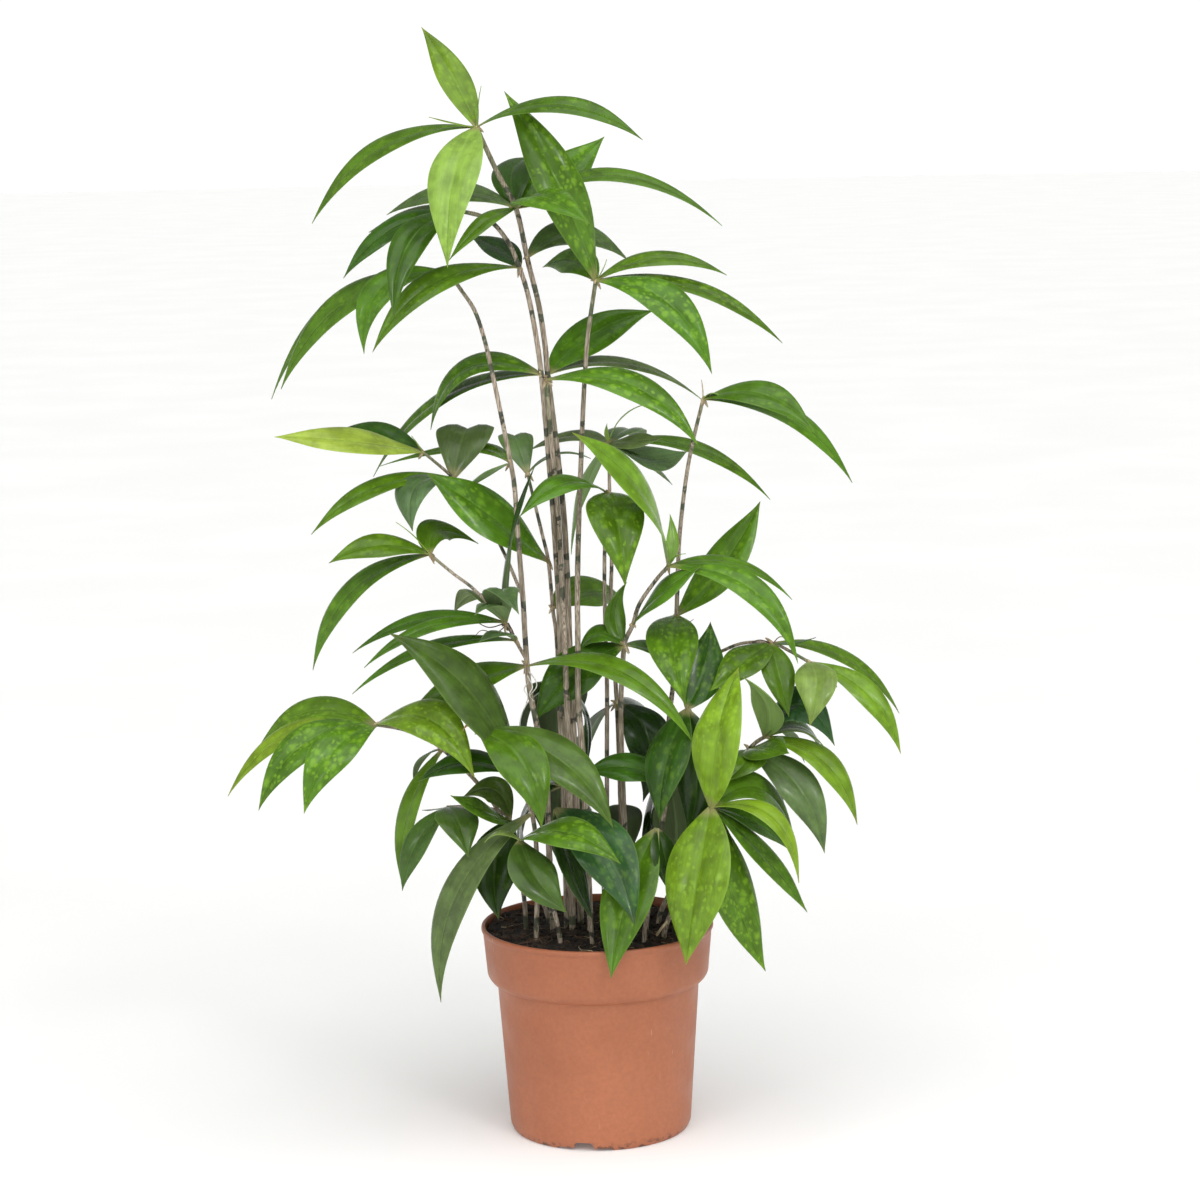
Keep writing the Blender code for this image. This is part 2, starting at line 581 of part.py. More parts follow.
def apply_modifiers(obj):
    graph = bpy.context.evaluated_depsgraph_get()
    old = obj.data
    obj.data = bpy.data.meshes.new_from_object(obj.evaluated_get(graph))
    obj.modifiers.clear()
    bpy.data.meshes.remove(old)


def boolean(obj, operation, collection):
    """One Boolean with every object of the collection, applied, and those objects removed."""
    cut = obj.modifiers.new("boolean", "BOOLEAN")
    cut.operation = operation
    cut.solver = "EXACT"
    cut.operand_type = "COLLECTION"
    cut.collection = collection
    apply_modifiers(obj)
    for other in list(collection.objects):
        bpy.data.objects.remove(other)
    bpy.data.collections.remove(collection)


def keep_main_body(obj):
    """Drops the scraps and sealed hollows that a union leaves: every shell but the largest."""
    bm = bmesh.new()
    bm.from_mesh(obj.data)
    left = set(bm.verts)
    shells = []
    while left:
        shell = {left.pop()}
        edge = list(shell)
        while edge:
            vert = edge.pop()
            for link in vert.link_edges:
                other = link.other_vert(vert)
                if other in left:
                    left.remove(other)
                    shell.add(other)
                    edge.append(other)
        shells.append(shell)
    shells.sort(key=len)
    scraps = [vert for shell in shells[:-1] for vert in shell]
    bmesh.ops.delete(bm, geom=scraps, context="VERTS")
    bm.to_mesh(obj.data)
    bm.free()


def lathe(name, profile, sides, height_at=None):
    """A closed solid turned from a profile of (radius, height) in mm that starts and ends on the axis."""
    points = [Vector((0, 0, profile[0][1]))]
    rings = []
    for radius, height in profile[1:-1]:
        rings.append(len(points))
        for i in range(sides):
            a = math.tau * i / sides
            x, y = radius * math.cos(a), radius * math.sin(a)
            points.append(Vector((x, y, height_at(x, y, height) if height_at else height)))
    points.append(Vector((0, 0, profile[-1][1])))
    last = len(points) - 1
    faces = []
    for i in range(sides):
        j = (i + 1) % sides
        faces.append((0, rings[0] + j, rings[0] + i))
        for low, high in zip(rings, rings[1:]):
            faces.append((low + i, low + j, high + j, high + i))
        faces.append((last, rings[-1] + i, rings[-1] + j))
    return mesh_object(name, [p * MM for p in points], faces)


def foot_cut(name, width, height, turn, top_scale, collection):
    """A block (mm) through the foot ring, open below, narrower at its top, turned about the pot's axis."""
    bm = bmesh.new()
    bmesh.ops.create_cube(bm, size=1.0)
    for vert in bm.verts:
        upper = vert.co.z > 0
        x = vert.co.x * width * (top_scale if upper else 1.0)
        y = vert.co.y * FOOT_CUT_DEPTH - FOOT_CUT_CENTRE
        vert.co = Vector((x, y, height if upper else -CUTTER_EXTRA))
    bmesh.ops.rotate(bm, verts=bm.verts, cent=(0, 0, 0), matrix=Matrix.Rotation(math.radians(turn), 3, "Z"))
    bmesh.ops.scale(bm, verts=bm.verts, vec=(MM, MM, MM))
    mesh = bpy.data.meshes.new(name)
    bm.to_mesh(mesh)
    bm.free()
    collection.objects.link(bpy.data.objects.new(name, mesh))


def rod(name, centre, radius, low, high, sides, collection):
    """An upright prism; all lengths in metres."""
    bm = bmesh.new()
    bmesh.ops.create_cone(
        bm, cap_ends=True, segments=sides, radius1=radius, radius2=radius, depth=high - low,
        matrix=Matrix.Translation((centre[0], centre[1], (low + high) / 2)),
    )
    mesh = bpy.data.meshes.new(name)
    bm.to_mesh(mesh)
    bm.free()
    collection.objects.link(bpy.data.objects.new(name, mesh))


def build_pot():
    low_wall = POT_BODY_RADIUS_LOW - POT_WALL
    profile = [
        (0, POT_FLOOR_UNDER),
        (POT_FOOT_INNER_RADIUS, POT_FLOOR_UNDER),
        (POT_FOOT_INNER_RADIUS, 0),
        (POT_FOOT_RADIUS, 0),
        (POT_BODY_RADIUS_LOW, POT_FOOT_HEIGHT),
        (POT_GROOVE_RADIUS, POT_GROOVE_HEIGHT),
        (POT_BEVEL_RADIUS, POT_GROOVE_HEIGHT + POT_BEVEL_RISE),
        (POT_BAND_RADIUS_LOW, POT_GROOVE_HEIGHT + POT_BAND_RISE),
        (POT_BAND_RADIUS_HIGH, POT_HEIGHT - POT_RIM_DEPTH),
        (POT_RIM_RADIUS, POT_HEIGHT - POT_RIM_DEPTH + POT_RIM_SLOPE),
        (POT_RIM_RADIUS, POT_HEIGHT - POT_RIM_BEVEL),
        (POT_RIM_RADIUS - POT_RIM_BEVEL, POT_HEIGHT),
        (POT_BAND_RADIUS_HIGH - POT_WALL, POT_HEIGHT),
        (POT_BAND_RADIUS_LOW - POT_WALL, POT_GROOVE_HEIGHT + POT_INNER_BAND_RISE),
        (POT_GROOVE_RADIUS - POT_WALL, POT_GROOVE_HEIGHT + POT_INNER_GROOVE_RISE),
        (low_wall, POT_FLOOR_TOP + POT_INNER_BEVEL),
        (low_wall - POT_INNER_BEVEL, POT_FLOOR_TOP),
        (0, POT_FLOOR_TOP),
    ]
    pot = lathe("pot", profile, POT_SIDES)
    cutters = bpy.data.collections.new("pot_cutters")
    bpy.context.scene.collection.children.link(cutters)
    for i in range(NOTCH_COUNT):
        turn = NOTCH_TURN + 360.0 * i / NOTCH_COUNT
        foot_cut("notch", NOTCH_WIDTH_LOW, NOTCH_HEIGHT, turn, NOTCH_WIDTH_HIGH / NOTCH_WIDTH_LOW, cutters)
        foot_cut("step", STEP_WIDTH, STEP_HEIGHT, turn, 1.0, cutters)
    for i in range(DRAIN_COUNT):
        a = math.tau * (i + 0.5) / DRAIN_COUNT
        centre = (DRAIN_CIRCLE * MM * math.cos(a), DRAIN_CIRCLE * MM * math.sin(a))
        low, high = (POT_FLOOR_UNDER - CUTTER_EXTRA) * MM, (POT_FLOOR_TOP + CUTTER_EXTRA) * MM
        rod("drain", centre, DRAIN_RADIUS * MM, low, high, DRAIN_SIDES, cutters)
    boolean(pot, "DIFFERENCE", cutters)
    pot.data.materials.append(material("terracotta_plastic", (0.42, 0.155, 0.07), 0.5))
    return pot


def soil_height(x, y, height):
    """The top of the soil, a little uneven and higher at the left, in mm."""
    if height < SOIL_TOP:
        return height
    return height - SOIL_SLOPE * x + SOIL_WAVE * math.sin(0.11 * x + 0.6) * math.cos(0.09 * y)


def build_soil():
    low_wall = POT_BODY_RADIUS_LOW - POT_WALL
    profile = [
        (0, POT_FLOOR_TOP + SOIL_GAP),
        (low_wall - POT_INNER_BEVEL - SOIL_GAP, POT_FLOOR_TOP + SOIL_GAP),
        (low_wall - SOIL_GAP, POT_FLOOR_TOP + POT_INNER_BEVEL + SOIL_GAP),
        (POT_GROOVE_RADIUS - POT_WALL - SOIL_GAP, POT_GROOVE_HEIGHT + POT_INNER_GROOVE_RISE + SOIL_GAP),
        (POT_BAND_RADIUS_LOW - POT_WALL - SOIL_GAP, POT_GROOVE_HEIGHT + POT_INNER_BAND_RISE + SOIL_GAP),
        (SOIL_TOP_RADIUS, SOIL_TOP),
        *((radius, SOIL_TOP + rise) for radius, rise in SOIL_RISES),
    ]
    soil = lathe("soil", profile, POT_SIDES, soil_height)
    cutters = bpy.data.collections.new("soil_cutters")
    bpy.context.scene.collection.children.link(cutters)
    for stem in STEMS.values():
        x, near = stem["foot"]
        radius = (stem["radii"][0] + HOLE_GAP) / math.cos(math.pi / HOLE_SIDES) * CM
        low, high = (FOOT_DEPTH_Z - HOLE_GAP) * CM, (STRAIGHT_TOP_Z + HOLE_EXTRA_Z) * CM
        rod("hole", (x * CM, -near * CM), radius, low, high, HOLE_SIDES, cutters)
    boolean(soil, "DIFFERENCE", cutters)
    soil.data.materials.append(material("peat", (0.03, 0.02, 0.013), 0.95))
    return soil


def tube(name, points, radii, collection=None):
    """A cane: rings of CANE_SIDES points square to the path, thinning from the first radius to the last."""
    rings = []
    side = Vector((1, 0, 0))
    for i, point in enumerate(points):
        along = (points[min(i + 1, len(points) - 1)] - points[max(i - 1, 0)]).normalized()
        side = (side - along * side.dot(along)).normalized()
        other = along.cross(side)
        radius = (radii[0] + (radii[1] - radii[0]) * i / (len(points) - 1)) * CM
        for k in range(CANE_SIDES):
            a = math.tau * k / CANE_SIDES
            rings.append(point + (side * math.cos(a) + other * math.sin(a)) * radius)
    faces = [tuple(reversed(range(CANE_SIDES)))]
    for i in range(len(points) - 1):
        for k in range(CANE_SIDES):
            low, high = i * CANE_SIDES, (i + 1) * CANE_SIDES
            j = (k + 1) % CANE_SIDES
            faces.append((low + k, low + j, high + j, high + k))
    faces.append(tuple(range(len(rings) - CANE_SIDES, len(rings))))
    return mesh_object(name, rings, faces, collection)


def leaf_width(s):
    """The blade's width over its length, as a share of the widest: stalk, broad middle, drawn-out tip."""
    stalk = 0.1 * (1 - s)
    return max(math.sin(math.pi * s ** 0.85), 0.0) ** 1.15 + stalk


def leaf_line(base, via, tip, s):
    """A point of the curve from the base through via to the tip, and the direction there."""
    t = (via - base).length / ((via - base).length + (tip - via).length)
    pull = (via - base * (1 - t) ** 2 - tip * t ** 2) / (2 * t * (1 - t))
    point = base * (1 - s) ** 2 + pull * 2 * s * (1 - s) + tip * s ** 2
    along = (pull - base) * (1 - s) + (tip - pull) * s
    return point, along.normalized()


def leaf_frame(base, tip, along, turn, s):
    """Across the blade and out of its upper face, turned to the viewer by its share of these degrees."""
    heading = Vector((tip.x - base.x, tip.y - base.y, 0))
    if heading.length < 1e-4:
        heading = Vector((1, 0, 0))
    side = heading.normalized().cross(Vector((0, 0, 1)))
    side = (side - along * side.dot(along)).normalized()
    face = side.cross(along)
    angle = math.radians(turn) * min(TWIST_BASE + TWIST_RATE * s, TWIST_MOST) * (1 if side.y < 0 else -1)
    return side * math.cos(angle) - face * math.sin(angle), face * math.cos(angle) + side * math.sin(angle)


def blade(name, base, via, tip, width, turn, collection):
    """A leaf: a thin shallow channel, split into triangles alike on both faces."""
    points = []
    stations = BROAD_STATIONS if width > BROAD_LEAF else STATIONS if width > SLIM_LEAF else SLIM_STATIONS
    for s in stations:
        centre, along = leaf_line(base, via, tip, s)
        side, face = leaf_frame(base, tip, along, turn, s)
        half = max(leaf_width(s) * width, BASE_WIDTH * (1 - s) ** 6, TIP_WIDTH) * CM / 2
        thick = (BLADE_THICKNESS + (BASE_THICKNESS - BLADE_THICKNESS) * (1 - s) ** 6) * CM / 2
        lift = CHANNEL * half * 2
        left, right = centre - side * half + face * lift, centre + side * half + face * lift
        points += [left + face * thick, centre + face * thick, right + face * thick]
        points += [right - face * thick, centre - face * thick, left - face * thick]
    faces = []
    for i in range(len(stations) - 1):
        a, b = i * 6, i * 6 + 6
        faces += [(a, a + 1, b + 1), (a, b + 1, b), (a + 1, a + 2, b + 1), (a + 2, b + 2, b + 1)]
        faces += [(a + 5, b + 4, a + 4), (a + 5, b + 5, b + 4), (a + 4, b + 4, a + 3), (a + 3, b + 4, b + 3)]
        faces += [(a + 2, a + 3, b + 3), (a + 2, b + 3, b + 2), (a + 5, a, b), (a + 5, b, b + 5)]
    n = len(points) - 6
    faces += [(0, 5, 4), (0, 4, 1), (1, 4, 3), (1, 3, 2)]
    faces += [(n, n + 1, n + 4), (n, n + 4, n + 5), (n + 1, n + 2, n + 3), (n + 1, n + 3, n + 4)]
    return mesh_object(name, points, faces, collection)


def cane_paths(stem):
    x, near = stem["foot"]
    foot = [Vector((x, -near, FOOT_DEPTH_Z)) * CM, Vector((x, -near, STRAIGHT_TOP_Z)) * CM]
    first, *branches = [[seen(*p) for p in cane] for cane in stem["canes"]]
    return [foot + first] + branches


def build_stem(name, stem):
    low, high = stem["radii"]
    trunk, *branches = cane_paths(stem)
    cane = tube(name, trunk, (low, high))
    parts = bpy.data.collections.new(name + "_leaves")
    bpy.context.scene.collection.children.link(parts)
    for path in branches:
        tube("branch", path, (high, high * BRANCH_TAPER), parts)
    for whorl, leaves in stem["whorls"]:
        for via, tip, width, turn in leaves:
            blade("leaf", seen(*whorl), seen(*via), seen(*tip), width, turn, parts)
    boolean(cane, "UNION", parts)
    keep_main_body(cane)
    return cane


def main():
    for obj in list(bpy.data.objects):
        bpy.data.objects.remove(obj)
    build_pot()
    build_soil()
    for number, (name, stem) in enumerate(STEMS.items()):
        cane = build_stem(name, stem)
        shade = 0.9 + 0.2 * (number % 3) / 2
        cane.data.materials.append(material(name + "_green", (0.07 * shade, 0.2 * shade, 0.03 * shade), 0.4))
    for obj in bpy.context.scene.objects:
        obj.location = Vector((*POT_AXIS, 0)) * MM


main()
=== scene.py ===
"""Looks of the potted gold dust dracaena: fine leaves, banded canes, peat and a moulded pot on a pale floor.

Leaves and canes follow the same rows as the CAD: a point (x, z) as seen on the upright plane through the pot's
axis, in centimetres, and how near it stands to the viewer. Units elsewhere are metres.
"""

import json
import math
import random

import bmesh
import bpy
from mathutils import Matrix, Vector, noise

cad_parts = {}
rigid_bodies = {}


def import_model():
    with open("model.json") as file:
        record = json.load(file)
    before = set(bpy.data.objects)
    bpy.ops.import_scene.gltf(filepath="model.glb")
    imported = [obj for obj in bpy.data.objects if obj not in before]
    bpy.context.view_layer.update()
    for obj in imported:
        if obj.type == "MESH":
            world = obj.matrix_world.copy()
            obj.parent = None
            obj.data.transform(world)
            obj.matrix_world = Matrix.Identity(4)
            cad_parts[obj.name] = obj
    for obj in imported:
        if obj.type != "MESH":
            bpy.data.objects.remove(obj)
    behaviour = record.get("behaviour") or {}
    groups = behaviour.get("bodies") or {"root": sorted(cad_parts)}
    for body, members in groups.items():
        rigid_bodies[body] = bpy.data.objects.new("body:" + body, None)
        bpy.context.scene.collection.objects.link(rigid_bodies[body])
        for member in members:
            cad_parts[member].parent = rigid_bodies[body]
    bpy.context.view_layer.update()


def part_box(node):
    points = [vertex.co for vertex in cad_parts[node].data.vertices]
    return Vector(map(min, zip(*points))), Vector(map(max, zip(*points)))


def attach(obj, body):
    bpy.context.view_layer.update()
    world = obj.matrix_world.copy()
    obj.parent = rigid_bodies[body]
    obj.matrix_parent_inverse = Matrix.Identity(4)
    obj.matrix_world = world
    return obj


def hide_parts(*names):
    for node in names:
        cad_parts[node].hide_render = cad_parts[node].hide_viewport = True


CM = 0.01
MM = 0.001

# The eye that the rows were read from (cm), and the camera that stands there.
EYE_SIDE = 0.66
EYE_BACK = 225.0
EYE_HEIGHT = 74.3
EYE_PITCH = 8.88
EYE_ROLL = 1.1
FOCAL_PIXELS = 3158.0
PHOTO_PIXELS = 1200.0
SENSOR_MM = 36.0

# Pot (mm), as in the CAD.
POT_HEIGHT = 153.0
POT_FOOT_RADIUS = 64.6
POT_FOOT_INNER_RADIUS = 60.2
POT_FOOT_HEIGHT = 4.5
POT_BODY_RADIUS_LOW = 66.6
POT_GROOVE_RADIUS = 74.0
POT_GROOVE_HEIGHT = 111.0
POT_BEVEL_RADIUS = 78.5
POT_BEVEL_RISE = 1.8
POT_BAND_RADIUS_LOW = 81.0
POT_BAND_RISE = 5.8
POT_BAND_RADIUS_HIGH = 83.8
POT_RIM_RADIUS = 85.0
POT_RIM_DEPTH = 4.6
POT_RIM_SLOPE = 1.4
POT_RIM_BEVEL = 1.0
POT_WALL = 1.6
POT_INNER_GROOVE_RISE = 2.2
POT_INNER_BAND_RISE = 6.8
POT_INNER_BEVEL = 3.0
POT_ROUNDING = 1.6
POT_FLOOR_UNDER = 6.0
POT_FLOOR_TOP = 8.0
POT_SIDES = 160
NOTCH_COUNT = 3
NOTCH_TURN = -11.0
NOTCH_HEIGHT = 6.5
NOTCH_WIDTH_LOW = 17.0
NOTCH_WIDTH_HIGH = 13.0
STEP_WIDTH = 40.0
STEP_HEIGHT = 2.0
FOOT_CUT_CENTRE = 63.5
FOOT_CUT_DEPTH = 13.0
DRAIN_COUNT = 6
DRAIN_RADIUS = 4.5
DRAIN_CIRCLE = 40.0
DRAIN_CUT_DEPTH = 8.0

# Soil (mm).
SOIL_TOP = 147.6
SOIL_TOP_RADIUS = 80.9
SOIL_SLOPE = 0.02
SOIL_WAVE = 1.0
SOIL_DOME = 3.0
SOIL_DEPTH = 12.0
SOIL_RINGS = 46
SOIL_SIDES = 150
SOIL_ROUGHNESS = 1.7
SOIL_GRAIN = 0.11
CRUMBS = 420
CRUMB_SIZES = (0.8, 2.6)
CRUMB_SIZES_LARGE = (2.6, 4.2)
FIBRES = 260
FIBRE_LENGTHS = (5, 19)
FIBRE_RADII = (0.15, 0.42)

# Canes and leaves (cm).
CANE_SIDES = 12
CANE_STEPS = 9
FOOT_DEPTH_Z = 13.2
STRAIGHT_TOP_Z = 15.45
BLADE_THICKNESS = 0.05
BASE_THICKNESS = 0.12
BASE_WIDTH = 0.3
CHANNEL = 0.07
DROOP = 0.75
FOLD = 0.2
TWIST_BASE = 0.4
TWIST_RATE = 1.1
TWIST_MOST = 1.25
BRANCH_TAPER = 0.85
RING_RATE = 390
RING_SWELL = 0.05
LEAF_STEPS = 26
SMALL_LEAF = 1.2
EDGE_THINNING = 0.55
EDGE_WAVE = 0.035
EDGE_WAVE_RATE = 9.5
EDGE_WAVE_SHIFT = 1.3
BRACTS_FROM_Z = 27
BRACTS_EACH = 3
BRACT_RADIUS = 0.16
BRACT_TIP_RADIUS = 0.00012
LEAF_ROWS = (-1.0, -0.93, -0.72, -0.42, -0.1, 0.0, 0.1, 0.42, 0.72, 0.93, 1.0)

# Studio: the floor's radius (m) and glow, the suns (strength, angle in degrees, gloss) and the softboxes
# (watts, gloss).
FLOOR_RADIUS = 30.0
FLOOR_GLOW = 0.1
KEY_SUN = (2.2, 75, 0.15)
FILL_SUN = (0.6, 90, 0.05)
SOFTBOX_RIGHT = (9, 3.0)
SOFTBOX_LEFT = (4, 3.0)

# Upper-face colours of the leaves (linear), by the first letter of a leaf's look. The digit says how
# spotted it is.
TINTS = {
    # k: painted shade, a near-black green for the leaves deep in the plant's shaded middle.
    "k": (0.016, 0.044, 0.006),
    "d": (0.034, 0.096, 0.007),
    "o": (0.062, 0.118, 0.018),
    "m": (0.070, 0.160, 0.008),
    "l": (0.140, 0.255, 0.014),
    "y": (0.235, 0.355, 0.050),
    "p": (0.195, 0.295, 0.060),
    "g": (0.095, 0.155, 0.050),
    "b": (0.034, 0.095, 0.024),
    "t": (0.420, 0.300, 0.150),
}

